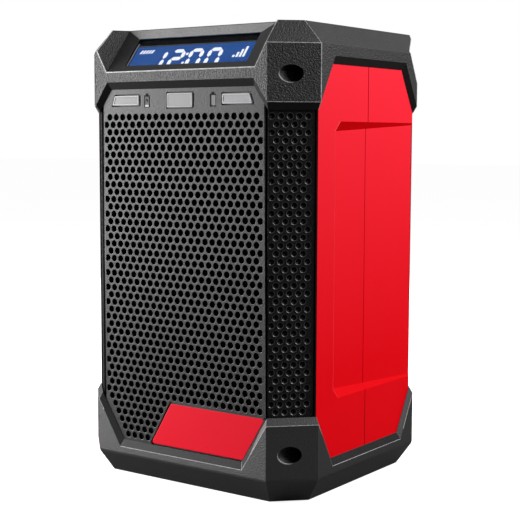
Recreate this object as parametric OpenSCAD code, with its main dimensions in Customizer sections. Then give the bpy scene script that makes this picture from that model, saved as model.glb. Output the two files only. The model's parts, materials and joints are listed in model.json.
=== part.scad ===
// Compact jobsite radio and charger, in millimetres.
// Front is -Y, right is +X, the feet stand on z = 0 and the origin is under the middle.
// Two red clamshell halves meet at y = 0, between a base bumper and a top cap.

/* [Body] */
// Width over the bumpers
body_w = 165; // [160:1:172]
// Depth over the bumpers
body_d = 148; // [144:1:156]
// Height from the feet to the top
body_h = 265; // [262:1:276]
// Cut taken off each square corner, measured along either side
corner_cut = 20.8; // [20:0.2:22]
// How far the bumpers stand proud of the body
bumper_proud = 2.5; // [2.2:0.1:3]
// Thickness of the front, rear and corner walls of the red halves
housing_wall = 3; // [2.6:0.1:3.4]
// Thickness of the red side walls, which carry the shallow recess
side_wall = 5; // [4.4:0.1:5.4]
// Width of the groove along the parting line
seam_w = 0.5; // [0.3:0.1:0.8]

/* [Foot and ridge chamfers] */
// Height of the foot chamfer
foot_h = 14; // [12:0.5:14]
// Inset of the foot chamfer at the ground
foot_run = 9.3; // [8:0.1:10]
// Height of the ridge chamfer
ridge_drop = 12.7; // [12:0.1:13.5]
// Inset of the ridge chamfer at the top, front and sides
ridge_run = 12.4; // [11.5:0.1:13]
// Inset of the ridge chamfer at the top of the corners
ridge_corner_run = 10.3; // [9.6:0.1:11]
// Height over which the back of the cap leans in
lean_drop = 30.4; // [29.5:0.1:31]
// Inset of the leaning back at the top
lean_run = 15.2; // [14.5:0.1:16]
// Depth below the top at which the carrying lip leaves the leaning back
lip_drop = 11.6; // [11:0.1:12.2]
// Height of the lip's upright rim
lip_rim = 3; // [2.4:0.1:3.6]

/* [Base bumper] */
// Height of the four corner posts
base_post_h = 45.2; // [44:0.2:46]
// Height of the lip between the posts at the front and rear
base_front_h = 18.4; // [18:0.2:19]
// Height of the lip between the posts at the sides
base_side_h = 19; // [18.6:0.2:19.6]
// Sideways run of the sloping edges at the front and rear
base_front_run = 16.7; // [16:0.1:17.4]
// Fore and aft run of the sloping edges at the sides
base_side_run = 14.5; // [14:0.1:15]
// Thickness of the base floor
base_floor = 4.4; // [4.2:0.2:5]

/* [Top cap] */
// Length of the corner posts, from the top down
cap_post = 44; // [43.4:0.2:44.4]
// Depth of the skirt at the front and rear
cap_front = 31.2; // [31:0.1:31.6]
// Depth of the skirt at the sides
cap_side = 18.7; // [18.4:0.1:19]
// Sideways run of the sloping edges at the front and rear
cap_front_run = 8.9; // [8.6:0.1:9.2]
// Fore and aft run of the sloping edges at the sides
cap_side_run = 14; // [13.6:0.1:14.4]
// Height of the bevel round every window in the cap and the base
bevel_rise = 4.6; // [4.4:0.1:4.8]
// Narrowing of each window across its bevel
bevel_narrow = 1.4; // [1.2:0.1:1.6]
// Thickness of the cap's top
cap_top = 5; // [4.8:0.1:5.4]

/* [Display] */
// Drop from the top to the front edge of the display notch
notch_drop = 25.3; // [25:0.1:25.5]
// Lean of the display from level
notch_angle = 50.3; // [50:0.1:50.6]
// Distance from the body's front corner line in to the display notch's end
notch_side = 8.2; // [7.7:0.1:8.7]
// Outward lean of the notch's end walls, per millimetre of height
notch_flare = 0.9; // [0.8:0.02:0.96]
// Distance from the notch's end in to the display window
window_side = 9.5; // [8.5:0.1:11.5]
// Lower edge of the display window, up the slope
window_low = 6.3; // [6:0.1:6.8]
// Upper edge of the display window, up the slope
window_high = 27.5; // [27:0.1:28]
// Depth of the bezel's funnel
funnel_depth = 2; // [1.6:0.1:2.2]
// Depth of the bezel frame
bezel_depth = 4.5; // [4.3:0.1:4.8]
// Thickness of the clear display lens
lens_t = 1; // [0.8:0.1:1.2]
// Thickness of the liquid crystal cell
lcd_t = 2; // [1.8:0.1:2.2]

/* [Grille] */
// Distance from the body's front corner line in to the grille's edge
grille_side = 2.7; // [2.5:0.1:3.7]
// Thickness of the grille
grille_t = 2.3; // [2:0.1:2.4]
// Diameter of the grille holes and of the corner dimples
hole_d = 3.3; // [3:0.1:3.5]
// Sideways pitch of the grille holes
hole_pitch_x = 5.07; // [5:0.01:5.1]
// Row pitch of the grille holes and of the corner dimples
hole_pitch_z = 4.36; // [4.3:0.01:4.4]
// Drop from the cap's corner posts to the first row of grille holes
hole_first = 7.4; // [7:0.1:7.8]
// Rows of grille holes
hole_rows = 44; // [20:1:44]
// Holes in the shorter rows
hole_row_count = 22; // [16:1:22]
// Distance from the front of the grille back to the baffle
baffle_depth = 7.5; // [7.4:0.1:8]
// Thickness of the black cloth behind the grille
cloth_t = 0.4; // [0.3:0.1:0.6]

/* [Corner panels] */
// Thickness of the dimpled corner panels
panel_t = 3; // [2.6:0.1:3.2]
// How far the corner panels sit behind the red halves
panel_sink = 0.7; // [0.5:0.1:1]
// Sideways pitch of the dimples
dimple_pitch = 4.98; // [4.8:0.02:5]
// Depth of the dimples
dimple_depth = 1.3; // [1:0.1:1.4]
// Rows of dimples
dimple_rows = 38; // [20:1:38]

/* [Side recess] */
// Drop from the top to the recess in each red side
recess_drop = 54; // [52:0.5:56]
// Height of the lower edge of the recess
recess_low = 55.9; // [55:0.1:58]
// Distance of the front edge of the recess ahead of the parting line
recess_front = 35; // [32:0.5:36]
// Depth of the recess at its front edge
recess_depth = 2.4; // [1.8:0.1:2.6]
// Fall of the recess depth towards the rear, per millimetre
recess_fall = 0.021; // [0.018:0.001:0.022]
// Slope of the ledges above and below the recess
ledge_slope = 2.3; // [2:0.1:2.6]
// Chamfer of the front corners of the recess
recess_chamfer = 5.5; // [4:0.5:7]

/* [Corner screws] */
// Distance of the corner screws from the body's side
screw_side = 11.5; // [11.3:0.1:11.9]
// Drop from the top to the upper corner screws
screw_drop = 28.9; // [28.6:0.1:29.4]
// Height of the lower corner screws
screw_low = 28.8; // [28.4:0.1:29]
// Diameter of the deep screw holes in the corner posts
screw_hole_d = 9.5; // [9:0.1:9.8]
// Distance of the screw seats from the parting line
screw_seat = 44; // [42:0.5:46]
// Diameter of the corner screw shanks
screw_d = 4; // [3.6:0.1:4.2]
// Length of the corner screws under the head
screw_len = 60; // [56:1:62]

/* [Front trim] */
// Width of each indicator window at its lower edge
led_w = 21; // [18:0.5:21]
// Height of each indicator window
led_h = 5.8; // [5:0.1:6]
// Distance from the body's front corner line in to the indicator windows
led_side = 10.7; // [10.5:0.1:11.7]
// Slant of the outer end of each indicator window
led_slant = 2.2; // [1.5:0.1:2.4]
// Height of the indicator windows above the corner post line
led_rise = -0.8; // [-1:0.1:0]
// Width of the small badge plate
badge_w = 18.8; // [16:0.2:20]
// Height of the small badge plate
badge_h = 8.2; // [7.5:0.1:8.4]
// How far the badge plate and the indicator windows stand proud
trim_proud = 0.6; // [0.4:0.1:0.8]
// Width of the bare name plate
plate_w = 67.3; // [60:0.1:67.5]
// Height of the bare name plate
plate_h = 26; // [24:0.1:26]
// Slant of the bare name plate
plate_slant = 15.4; // [14:0.1:15.4]
// Thickness of the bare name plate
plate_t = 1.2; // [1:0.1:1.4]

/* [Speaker] */
// Height of the speaker's axis
speaker_z = 134; // [132:1:138]
// Outer radius of the speaker's flange
flange_r = 52; // [51.5:0.1:52]
// Thickness of the speaker's flange
flange_t = 2.5; // [2.4:0.1:2.8]
// Radius of the hole in the baffle
baffle_hole_r = 45; // [44.8:0.1:45.4]
// Outer radius of the cone
cone_r = 36; // [34:0.5:36]
// Depth of the cone
cone_depth = 16; // [15:0.5:17]
// Radius of the voice coil
coil_r = 12.5; // [12:0.1:13]
// Radius of the magnet
magnet_r = 28; // [26:0.5:28]
// Thickness of the magnet
magnet_t = 16; // [14:0.5:17]
// Depth from the flange to the front of the magnet
basket_depth = 34; // [33.6:0.1:35]
// Travel of the cone to either side of rest
cone_travel = 1.5; // [1:0.1:1.6]

/* [Battery] */
// Height of the bottom of the battery bay
bay_low = 50; // [49:0.5:51]
// Height of the battery bay
bay_h = 58; // [57.6:0.1:58.4]
// Distance from the rear panel's edge in to the battery bay
bay_side = 5; // [4.6:0.1:7]
// Depth of the battery bay behind the rear panel
bay_depth = 25.5; // [25.2:0.1:26]
// Thickness of the battery bay's walls
bay_wall = 2; // [1.8:0.1:2.2]
// Width of the battery's stem
stem_w = 51; // [48:0.5:52]
// Height of the battery's stem
stem_h = 39; // [38:0.2:39.4]
// Length of the battery's stem
stem_len = 47; // [46:0.2:47.6]
// Width of the battery's base
pack_w = 75; // [72:0.5:76]
// Height of the battery's base
pack_h = 55; // [53:0.5:55.6]
// Thickness of the battery's base
pack_t = 23.6; // [22.5:0.1:24]
// Inward travel of each battery latch
latch_travel = 1.6; // [1.2:0.1:1.8]

/* [Ports] */
// Height of the hinge line of the port door
hinge_z = 150; // [148:0.5:152]
// Height of the port door above its hinge
door_h = 33; // [31:0.5:34]
// Half width of the port door
door_half = 33; // [31:0.5:34]
// Thickness of the port door
door_t = 2.4; // [2.2:0.1:2.6]
// Radius of the hinge pin
pin_r = 1; // [0.9:0.05:1.1]
// Radius of the hinge knuckles
knuckle_r = 2; // [1.9:0.05:2.1]
// Diameter of the audio jack's hole
jack_d = 3.6; // [3.5:0.05:3.8]
// Diameter of the power inlet's hole
inlet_d = 6; // [5.6:0.1:6.4]

/* [Keys] */
// Half width of the control panel
keys_half = 49; // [48:0.5:50]
// Front edge of the control panel
keys_front = -38; // [-39:0.5:-37]
// Rear edge of the control panel
keys_rear = 42; // [41:0.5:43]
// Thickness of the control panel
keys_t = 1.8; // [1.6:0.1:2]
// Drop from the cap's top to the control panel
keys_sink = 1.2; // [1:0.1:1.4]
// Travel of each key
key_travel = 0.8; // [0.6:0.1:0.9]
// Clearance round each key
key_gap = 0.35; // [0.3:0.05:0.45]
// Thickness of each key's hidden flange
key_flange = 1.4; // [1.2:0.1:1.5]

/* [Fits] */
// Clearance between pieces that slide or nest
fit = 0.2; // [0.1:0.05:0.3]
// Radial clearance of running fits
running = 0.06; // [0.03:0.01:0.09]
// Clearance of the battery in its bay
pack_gap = 0.5; // [0.4:0.1:0.6]
// How far the rubber feet stand proud of the base
foot_proud = 0.6; // [0.4:0.1:1]
// Radius of the rubber feet
foot_r = 9; // [7:0.5:10]
// Distance of the feet's middles from the body's sides
foot_side = 32.5; // [28:0.5:36]
// Distance of the feet's middles from the body's front and rear
foot_end = 32; // [28:0.5:36]

/* [Hidden] */

over = 1;
big = 400;
root2 = sqrt(2);
half_w = body_w / 2;
half_d = body_d / 2;
corner_far = (half_w + half_d - corner_cut) / root2;
face_x = half_w - bumper_proud;
face_y = half_d - bumper_proud;
edge_x = half_w - corner_cut;
edge_y = half_d - corner_cut;
notch_half = edge_x - notch_side;
window_half = notch_half - window_side;
grille_half = edge_x - grille_side;
bay_half = grille_half - bay_side;
screw_x = half_w - screw_side;
led_x = edge_x - led_side - led_w;
inner_edge = bumper_proud * (root2 - 1);
ridge_z = body_h - ridge_drop;
lean_z = body_h - lean_drop;
skin = bumper_proud - fit;
lip_in = 0.4;

base_top = base_post_h + bevel_rise;
cap_low = body_h - cap_post - bevel_rise;
core_low = foot_h + bend(foot_run, foot_h, bumper_proud) + 0.5;
core_top = body_h - 15;
cap_ceiling = body_h - cap_top;

baffle_y = face_y - baffle_depth;
panel_far = corner_far - bumper_proud - panel_sink;
panel_back = panel_far - panel_t;
cavity_corner = corner_far - panel_back + housing_wall;
panel_low = base_post_h - 1;
panel_high = body_h - cap_post + 1;
plate_low = foot_h + 2.5;
plate_high = body_h - cap_front - 1.3;
rim_t = 1.6;
rim_side = 19;

board_back = bezel_depth + 9;
notch_z = body_h - notch_drop;
notch_len = notch_drop / sin(notch_angle);
lens_seat = funnel_depth + 0.2;
lcd_seat = lens_seat + lens_t + 0.4;
holder_seat = lcd_seat + lcd_t + 0.3;
holder_t = 3.4;
board_t = 1.6;
ledge = 3.4;

screw_high = body_h - screw_drop;
screw_head_h = 3;
sleeve_r = screw_hole_d / 2 + 1.25;
sleeve_floor = 3;
boss_r = 6;

keys_top = body_h - keys_sink;
keys_under = keys_top - keys_t;
key_top = body_h - 0.2;
key_board_top = core_top + 3.6;
mat_t = 1.6;
dome_h = 1;

bay_high = bay_low + bay_h;
bay_mid = bay_low + bay_h / 2;
bay_floor = face_y - bay_depth;
stem_half = stem_w / 2 + pack_gap;
stem_room = stem_h / 2 + pack_gap;
pack_front = bay_floor + pack_gap;
stem_end = pack_front - stem_len;
stem_wall = stem_end - 1;

hinge_y = face_y - knuckle_r;
door_front = face_y - door_t - 0.2;
port_floor = face_y - 11.5;
main_board_y = baffle_y - 20;
port_z = hinge_z + 15.5;

// Outlines and forms shared by the pieces

// Height at which a leaning face starts when the wall under it is inset
function bend(run, rise, inset) = inset * tan(atan2(run, rise) / 2);

// Upright outline from front to rear, as [distance, height]
function upright(half, front_in, rear_in, ridge, lean) =
  let (
    front = half - front_in,
    rear = half - rear_in,
    front_foot = foot_h + bend(foot_run, foot_h, front_in),
    rear_foot = foot_h + bend(foot_run, foot_h, rear_in),
    ridge_start = ridge_z - bend(ridge, ridge_drop, front_in),
    lean_start = body_h - lean[1] - bend(lean[0], lean[1], rear_in)
  ) [
    [-front + front_foot * foot_run / foot_h, 0],
    [-front, front_foot],
    [-front, ridge_start],
    [-front + (body_h - ridge_start) * ridge / ridge_drop, body_h],
    [rear - (body_h - lean_start) * lean[0] / lean[1], body_h],
    [rear, lean_start],
    [rear, rear_foot],
    [rear - rear_foot * foot_run / foot_h, 0]
  ];

// A long bar of the given upright outline, along the level direction at this turn
module bar(turn, outline) {
  rotate([0, 0, turn])
  rotate([90, 0, 90])
  linear_extrude(big, center = true)
  polygon(outline);
}

// The eight-sided body, inset on each face, between two heights
module body_form(front_in, rear_in, side_in, corner_in, low, high) {
  intersection() {
    bar(0, upright(half_d, front_in, rear_in, ridge_run, [lean_run, lean_drop]));
    bar(90, upright(half_w, side_in, side_in, ridge_run, [ridge_run, ridge_drop]));
    bar(45, upright(corner_far, corner_in, corner_in, ridge_corner_run,
      [lean_run / root2, lean_drop]));
    bar(-45, upright(corner_far, corner_in, corner_in, ridge_corner_run,
      [lean_run / root2, lean_drop]));
    translate([-half_w, -half_d, low])
    cube([body_w, body_d, high - low]);
  }
}

// Upright outline of the carrying lip, which stands out again over the leaning back
function lip_outline(half, run) =
  let (under = half - run * (lean_drop - lip_drop) / lean_drop)
  [
    [-half, body_h - lip_drop],
    [under, body_h - lip_drop],
    [half - lip_in, body_h - lip_rim],
    [half - lip_in, body_h],
    [-half, body_h]
  ];

module carrying_lip() {
  intersection() {
    bar(0, lip_outline(half_d, lean_run));
    bar(90, upright(half_w, 0, 0, ridge_run, [ridge_run, ridge_drop]));
    bar(45, lip_outline(corner_far, lean_run / root2));
    bar(-45, lip_outline(corner_far, lean_run / root2));
    translate([-half_w, 30, body_h - lip_drop])
    cube([body_w, half_d, lip_drop]);
  }
}

module both_sides() {
  for (side = [0, 1])
    mirror([side, 0, 0])
    children();
}

module front_and_rear() {
  for (end = [0, 1])
    mirror([0, end, 0])
    children();
}

// Places flat work on the face whose outward direction is the front turned by this angle
module on_face(turn, distance) {
  rotate([0, 0, turn])
  translate([0, -distance, 0])
  rotate([90, 0, 0])
  children();
}

// Places work on the display slope: x across, y up the slope, z out of it
module on_slope() {
  translate([0, -half_d, notch_z])
  rotate([notch_angle, 0, 0])
  children();
}

// A cut whose outline changes evenly from a face to a given depth, and a little past both
module tapered_cut(outer, inner, depth) {
  count = len(outer);
  step = (outer - inner) * (over / depth);
  points = concat(
    [for (p = outer + step) [p[0], p[1], over]],
    [for (p = inner - step) [p[0], p[1], -depth - over]]
  );
  faces = concat(
    [[for (i = [count - 1 : -1 : 0]) i]],
    [[for (i = [0 : count - 1]) count + i]],
    [for (i = [0 : count - 1]) [i, (i + 1) % count, count + (i + 1) % count, count + i]]
  );
  polyhedron(points, faces);
}

// Window outlines, from a far line up or down to an edge with sloping ends
function window_up(low, edge, run, post, flat) =
  [[-edge, low], [edge, low], [edge, post], [edge - run, flat], [run - edge, flat], [-edge, post]];
function window_down(high, edge, run, post, flat) =
  [[-edge, high], [-edge, post], [run - edge, flat], [edge - run, flat], [edge, post], [edge, high]];

module cap_window(turn, distance, edge, run, drop) {
  post = body_h - cap_post;
  on_face(turn, distance)
  tapered_cut(
    window_up(cap_low - 20, edge, run, post, body_h - drop),
    window_up(cap_low - 20, edge - inner_edge, run + bevel_narrow - inner_edge,
      post - bevel_rise, body_h - drop - bevel_rise),
    bumper_proud
  );
}

module base_window(turn, distance, edge, run, lip) {
  on_face(turn, distance)
  tapered_cut(
    window_down(base_top + 20, edge, run, base_post_h, lip),
    window_down(base_top + 20, edge - inner_edge, run + bevel_narrow - inner_edge,
      base_post_h + bevel_rise, lip + bevel_rise),
    bumper_proud
  );
}

// Cuts the corner skin past a post's end: dir 1 takes what is above, -1 what is below
module post_end(post, dir) {
  corner_from = (edge_x - half_d) / root2 - 2;
  corner_to = (half_w - edge_y) / root2 + 2;
  slope = bevel_rise / bumper_proud;
  front_and_rear()
  both_sides()
  rotate([0, 0, 45])
  rotate([90, 0, 90])
  translate([0, 0, corner_from])
  linear_extrude(corner_to - corner_from)
  polygon([
    [-corner_far - over, post - dir * over * slope],
    [-corner_far + bumper_proud + over, post + dir * (bumper_proud + over) * slope],
    [-corner_far + bumper_proud + over, post + dir * 30],
    [-corner_far - over, post + dir * 30]
  ]);
}

// Rounded flat outline about its middle
module rounded(w, h, r) {
  square([w - 2 * r, h], center = true);
  square([w, h - 2 * r], center = true);
  for (x = [r - w / 2, w / 2 - r], y = [r - h / 2, h / 2 - r])
    translate([x, y])
    circle(r, $fn = 32);
}

// Repeats along the four corner screws' axes, pointing to the rear
module at_corner_screws(y) {
  both_sides()
  for (z = [screw_low, screw_high])
    translate([screw_x, y, z])
    rotate([-90, 0, 0])
    children();
}

module at_screws(y, z) {
  both_sides()
  translate([screw_x, y, z])
  rotate([-90, 0, 0])
  children();
}

// Sleeve from a corner post in to the screw's seat
module screw_sleeve(z) {
  intersection() {
    at_screws(-half_d, z)
    cylinder(r = sleeve_r, h = half_d - screw_seat, $fn = 48);
    body_form(0, 0, 0, 0, 0, body_h);
  }
}

module screw_bore(z) {
  at_screws(-half_d - over, z)
  cylinder(d = screw_hole_d, h = half_d + over - screw_seat - sleeve_floor, $fn = 48);
  at_screws(-half_d, z)
  cylinder(r = screw_d / 2 + fit, h = half_d, $fn = 32);
}

// Bumpers

module base_bumper() {
  color([0.16, 0.16, 0.17])
  difference() {
    union() {
      difference() {
        body_form(0, 0, 0, 0, foot_proud, base_top);
        body_form(skin, skin, skin, skin, foot_proud + base_floor, base_top + over);
      }
      both_sides()
      translate([38, -50, foot_proud + base_floor - over])
      cube([3, 100, core_low - foot_proud - base_floor + over]);
      screw_sleeve(screw_low);
    }
    front_and_rear()
    base_window(0, half_d, edge_x, base_front_run, base_front_h);
    both_sides()
    base_window(90, half_w, edge_y, base_side_run, base_side_h);
    post_end(base_post_h, 1);
    screw_bore(screw_low);
    at_feet()
    translate([0, 0, foot_proud - over])
    cylinder(r = foot_r + fit, h = over + foot_depth(), $fn = 48);
  }
}

function foot_depth() = base_floor - 2;

module at_feet() {
  for (x = [-1, 1] * (half_w - foot_side), y = [-1, 1] * (half_d - foot_end))
    translate([x, y, 0])
    children();
}

module rubber_feet() {
  color([0.06, 0.06, 0.06])
  at_feet()
  cylinder(r = foot_r, h = foot_proud + foot_depth(), $fn = 48);
}

module top_cap() {
  color([0.15, 0.15, 0.16])
  difference() {
    union() {
      difference() {
        union() {
          body_form(0, 0, 0, 0, cap_low, body_h);
          carrying_lip();
        }
        difference() {
          body_form(skin, skin, skin, skin, cap_low - over, cap_ceiling);
          display_block();
        }
      }
      both_sides()
      translate([62, -30, core_top])
      cube([3, 60, cap_ceiling - core_top + over]);
      key_board_bosses();
      screw_sleeve(screw_high);
    }
    front_and_rear()
    cap_window(0, half_d, edge_x, cap_front_run, cap_front);
    both_sides()
    cap_window(90, half_w, edge_y, cap_side_run, cap_side);
    post_end(body_h - cap_post, -1);
    screw_bore(screw_high);
    display_notch();
    on_slope()
    translate([0, 0, -bezel_depth - 0.1])
    linear_extrude(big)
    slope_rect(notch_half, 0.1, notch_len - 0.2);
    on_slope()
    translate([0, 0, -bezel_depth - ledge - over])
    linear_extrude(bezel_depth + ledge + 2 * over)
    slope_rect(notch_half - ledge, ledge, notch_len - ledge);
    translate([-keys_half - fit, keys_front - fit, keys_under])
    cube([2 * (keys_half + fit), keys_rear - keys_front + 2 * fit, keys_sink + keys_t + over]);
    translate([-keys_half + 2.5, keys_front + 2.5, cap_ceiling - over])
    cube([2 * (keys_half - 2.5), keys_rear - keys_front - 5, cap_top + over]);
  }
}

// Bosses that carry the key board, hung from the cap's ceiling
module key_board_bosses() {
  both_sides()
  for (y = [keys_front + 1, keys_rear - 1])
    translate([keys_half - 0.5, y, key_board_top])
    cylinder(r = 2.4, h = cap_ceiling - key_board_top + over, $fn = 24);
}

module slope_rect(half, low, high) {
  translate([-half, low])
  square([2 * half, high - low]);
}

// Solid frame of the cap that the display notch is cut into
module display_block() {
  on_slope()
  translate([1.2 - edge_x, -1.5, -bezel_depth - ledge])
  cube([2 * (edge_x - 1.2), 45, 40]);
}

module display_notch() {
  tall = 20;
  on_slope()
  rotate([90, 0, 0])
  linear_extrude(big, center = true)
  polygon([
    [-notch_half, 0], [notch_half, 0],
    [notch_half + tall * notch_flare, tall], [-notch_half - tall * notch_flare, tall]
  ]);
}

// Housing halves

module side_recess() {
  high = body_h - recess_drop;
  deep = recess_depth + 1;
  both_sides()
  intersection() {
    rotate([90, 0, 0])
    linear_extrude(2 * half_d, center = true)
    polygon([
      [face_x + over, high + over * ledge_slope],
      [face_x - deep, high - deep * ledge_slope],
      [face_x - deep, recess_low + deep * ledge_slope],
      [face_x + over, recess_low - over * ledge_slope]
    ]);
    rotate([90, 0, 90])
    linear_extrude(half_w + over)
    polygon([
      [recess_chamfer - recess_front, recess_low - 5],
      [half_d, recess_low - 5],
      [half_d, high + 5],
      [recess_chamfer - recess_front, high + 5],
      [recess_chamfer - recess_front, high],
      [-recess_front, high - recess_chamfer],
      [-recess_front, recess_low + recess_chamfer],
      [recess_chamfer - recess_front, recess_low]
    ]);
    linear_extrude(body_h)
    polygon([
      [face_x + 2 * over, -recess_front - over],
      [face_x + 2 * over, half_d],
      [face_x - recess_depth + (half_d + recess_front) * recess_fall, half_d],
      [face_x - recess_depth - over * recess_fall, -recess_front - over]
    ]);
  }
}

// Seats of the four corner panels
module panel_pockets() {
  front_and_rear()
  both_sides()
  rotate([0, 0, 45])
  translate([-40, -corner_far - over, panel_low - fit])
  cube([40 + panel_edge() + fit, corner_far + over - panel_back, panel_high - panel_low + 2 * fit]);
}

// Edge of the corner panels towards the red sides, along the corner face
function panel_edge() = (face_x - (corner_far - bumper_proud) * root2 + face_x) / root2 - 1;

module housing_shell() {
  difference() {
    body_form(bumper_proud + baffle_depth, bumper_proud + baffle_depth, bumper_proud, bumper_proud,
      core_low, core_top);
    difference() {
      body_form(
        bumper_proud + baffle_depth + housing_wall, bumper_proud + baffle_depth + housing_wall,
        bumper_proud + side_wall, cavity_corner, core_low + housing_wall, core_top - housing_wall);
      on_slope()
      translate([-half_w, -half_d, -board_back - housing_wall])
      cube([body_w, 2 * body_d, half_d]);
    }
    on_slope()
    translate([-half_w, -half_d, -board_back])
    cube([body_w, 2 * body_d, body_d]);
    panel_pockets();
    side_recess();
    both_sides()
    translate([face_x, 0, core_low - over])
    rotate([0, 0, 45])
    translate([-seam_w / 2, -seam_w / 2, 0])
    cube([seam_w, seam_w, body_h]);
  }
}

module half_space(front) {
  translate([-half_w, front ? -half_d : 0, 0])
  cube([body_w, half_d, body_h]);
}

module front_housing() {
  color([0.85, 0.04, 0.07])
  difference() {
    union() {
      intersection() {
        housing_shell();
        half_space(true);
      }
      grille_rim();
      at_corner_screws(-screw_seat)
      cylinder(r = boss_r, h = screw_seat, $fn = 48);
    }
    at_corner_screws(-half_d)
    cylinder(r = sleeve_r + fit, h = half_d - screw_seat, $fn = 48);
    at_corner_screws(-screw_seat - over)
    cylinder(r = screw_d / 2 + fit, h = screw_seat + 2 * over, $fn = 32);
    translate([0, -baffle_y - over, speaker_z])
    rotate([-90, 0, 0])
    cylinder(r = baffle_hole_r, h = housing_wall + 2 * over, $fn = 96);
    at_speaker_screws()
    translate([0, 0, -baffle_y - over])
    cylinder(r = 1.3, h = housing_wall + 2 * over, $fn = 24);
  }
}

// Rim that the grille stands on
module grille_rim() {
  for (x = [-grille_half + 0.3, grille_half - 0.3 - rim_t])
    translate([x, grille_t - face_y, base_top + 2])
    cube([rim_t, baffle_depth - grille_t + over, panel_high - base_top - 8]);
  for (z = [plate_low + 1, plate_high - 3])
    translate([rim_side - grille_half, grille_t - face_y, z])
    cube([2 * (grille_half - rim_side), baffle_depth - grille_t + over, rim_t]);
}

module rear_housing() {
  color([0.82, 0.04, 0.07])
  difference() {
    union() {
      intersection() {
        housing_shell();
        half_space(false);
      }
      at_corner_screws(0)
      cylinder(r = boss_r, h = screw_len - screw_seat + 4, $fn = 48);
      main_board_bosses();
      antenna_saddles();
    }
    at_corner_screws(-over)
    cylinder(r = screw_d / 2 + running, h = screw_len - screw_seat + 2, $fn = 32);
    translate([-bay_half - bay_wall - fit, baffle_y - housing_wall - over, bay_low - bay_wall - fit])
    cube([2 * (bay_half + bay_wall + fit), housing_wall + 2 * over, bay_h + 2 * (bay_wall + fit)]);
    translate([-port_half() - fit, baffle_y - housing_wall - over, port_low() - fit])
    cube([2 * (port_half() + fit), housing_wall + 2 * over, port_high() - port_low() + 2 * fit]);
  }
}

// Outside of the port bay's tub
function port_half() = door_half + 1.5;
function port_low() = hinge_z - knuckle_r - 2.5;
function port_high() = hinge_z + door_h + 2.5;

module main_board_bosses() {
  both_sides()
  for (z = [bay_high + 14, core_top - 22])
    translate([50, main_board_y + board_t, z])
    rotate([-90, 0, 0])
    cylinder(r = 3.5, h = baffle_y - housing_wall - main_board_y - board_t + over, $fn = 32);
}

antenna_y = 32;
antenna_z = core_top - housing_wall - 8;
antenna_r = 4;

module antenna_saddles() {
  both_sides()
  difference() {
    translate([28, antenna_y - 7, antenna_z])
    cube([4, 14, core_top - housing_wall - antenna_z + over]);
    translate([27, antenna_y, antenna_z])
    rotate([0, 90, 0])
    cylinder(r = antenna_r + running, h = 6, $fn = 32);
  }
}

// Grille and panels

function plate_left(z) =
  plate_right() - plate_w + (z - base_front_h - bevel_rise) * plate_slant / plate_h;
function plate_right() = window_edge() - base_front_run - bevel_narrow + inner_edge + 0.6;
function window_edge() = edge_x - inner_edge;
// Half width of the base's front window at a height on the grille
function window_at(z) =
  window_edge() - (base_post_h - z + bevel_rise) * (base_front_run + bevel_narrow - inner_edge)
  / (base_post_h - base_front_h);
function hole_fits(x, z) =
  abs(x) < grille_half - 2.6
  && z > base_front_h + bevel_rise + 2.5
  && abs(x) < window_at(z) - 3.9
  && (z > base_front_h + bevel_rise + plate_h + 2.8 || x < plate_left(z) - 3.1);

module name_plate_outline(grow) {
  low = base_front_h + bevel_rise;
  polygon([
    [plate_left(low) - grow * 1.1, low - grow],
    [plate_right() + grow * 0.9, low - grow],
    [plate_right() + plate_slant + grow * 1.1, low + plate_h + grow],
    [plate_left(low + plate_h) - grow * 0.9, low + plate_h + grow]
  ]);
}

led_z = body_h - cap_post + led_rise;

module led_outline(grow) {
  polygon([
    [led_x - grow, led_z - grow],
    [led_x + led_w + grow * 1.4, led_z - grow],
    [led_x + led_w - led_slant + grow * 0.7, led_z + led_h + grow],
    [led_x - grow, led_z + led_h + grow]
  ]);
}

badge_z = led_z + led_h / 2 - 0.3;

rows_per_band = 11;
hole_top = body_h - cap_post - hole_first;

// One band of the grille with its rows of holes
module grille_band(band) {
  last = ceil(hole_rows / rows_per_band) - 1;
  high = band == 0 ? plate_high : hole_top - hole_pitch_z * (band * rows_per_band - 0.5);
  low = band == last ? plate_low : hole_top - hole_pitch_z * ((band + 1) * rows_per_band - 0.5);
  difference() {
    translate([-grille_half, low])
    square([2 * grille_half, high - low]);
    for (row = [band * rows_per_band : min(hole_rows, (band + 1) * rows_per_band) - 1])
      for (i = [0 : hole_row_count - 1 + row % 2])
        let (
          x = (i - (hole_row_count - 1 + row % 2) / 2) * hole_pitch_x,
          z = hole_top - row * hole_pitch_z
        )
        if (hole_fits(x, z))
          translate([x, z])
          circle(d = hole_d, $fn = 24);
    if (band == 0)
      both_sides()
      led_outline(fit);
  }
}

module front_grille() {
  color([0.36, 0.36, 0.37])
  difference() {
    on_face(0, face_y)
    translate([0, 0, -grille_t])
    linear_extrude(grille_t)
    for (band = [0 : ceil(hole_rows / rows_per_band) - 1])
      grille_band(band);
    on_face(0, face_y)
    translate([0, 0, -plate_t])
    linear_extrude(plate_t + over)
    name_plate_outline(fit);
    translate([-badge_w / 2 - fit, -face_y - over, badge_z - badge_h / 2 - fit])
    cube([badge_w + 2 * fit, over + 1, badge_h + 2 * fit]);
  }
}

module grille_cloth() {
  color([0.03, 0.03, 0.03])
  translate([2 - grille_half + rim_t, grille_t - face_y, plate_low + 4])
  cube([2 * (grille_half - 2 - rim_t), cloth_t, hole_top - plate_low - 1]);
}

module name_plate() {
  color([0.84, 0.07, 0.12])
  on_face(0, face_y)
  translate([0, 0, -plate_t])
  linear_extrude(plate_t + 0.1)
  name_plate_outline(0);
}

module front_badge() {
  color([0.6, 0.6, 0.6])
  translate([-badge_w / 2, -face_y - trim_proud, badge_z - badge_h / 2])
  cube([badge_w, trim_proud + 1, badge_h]);
}

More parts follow.
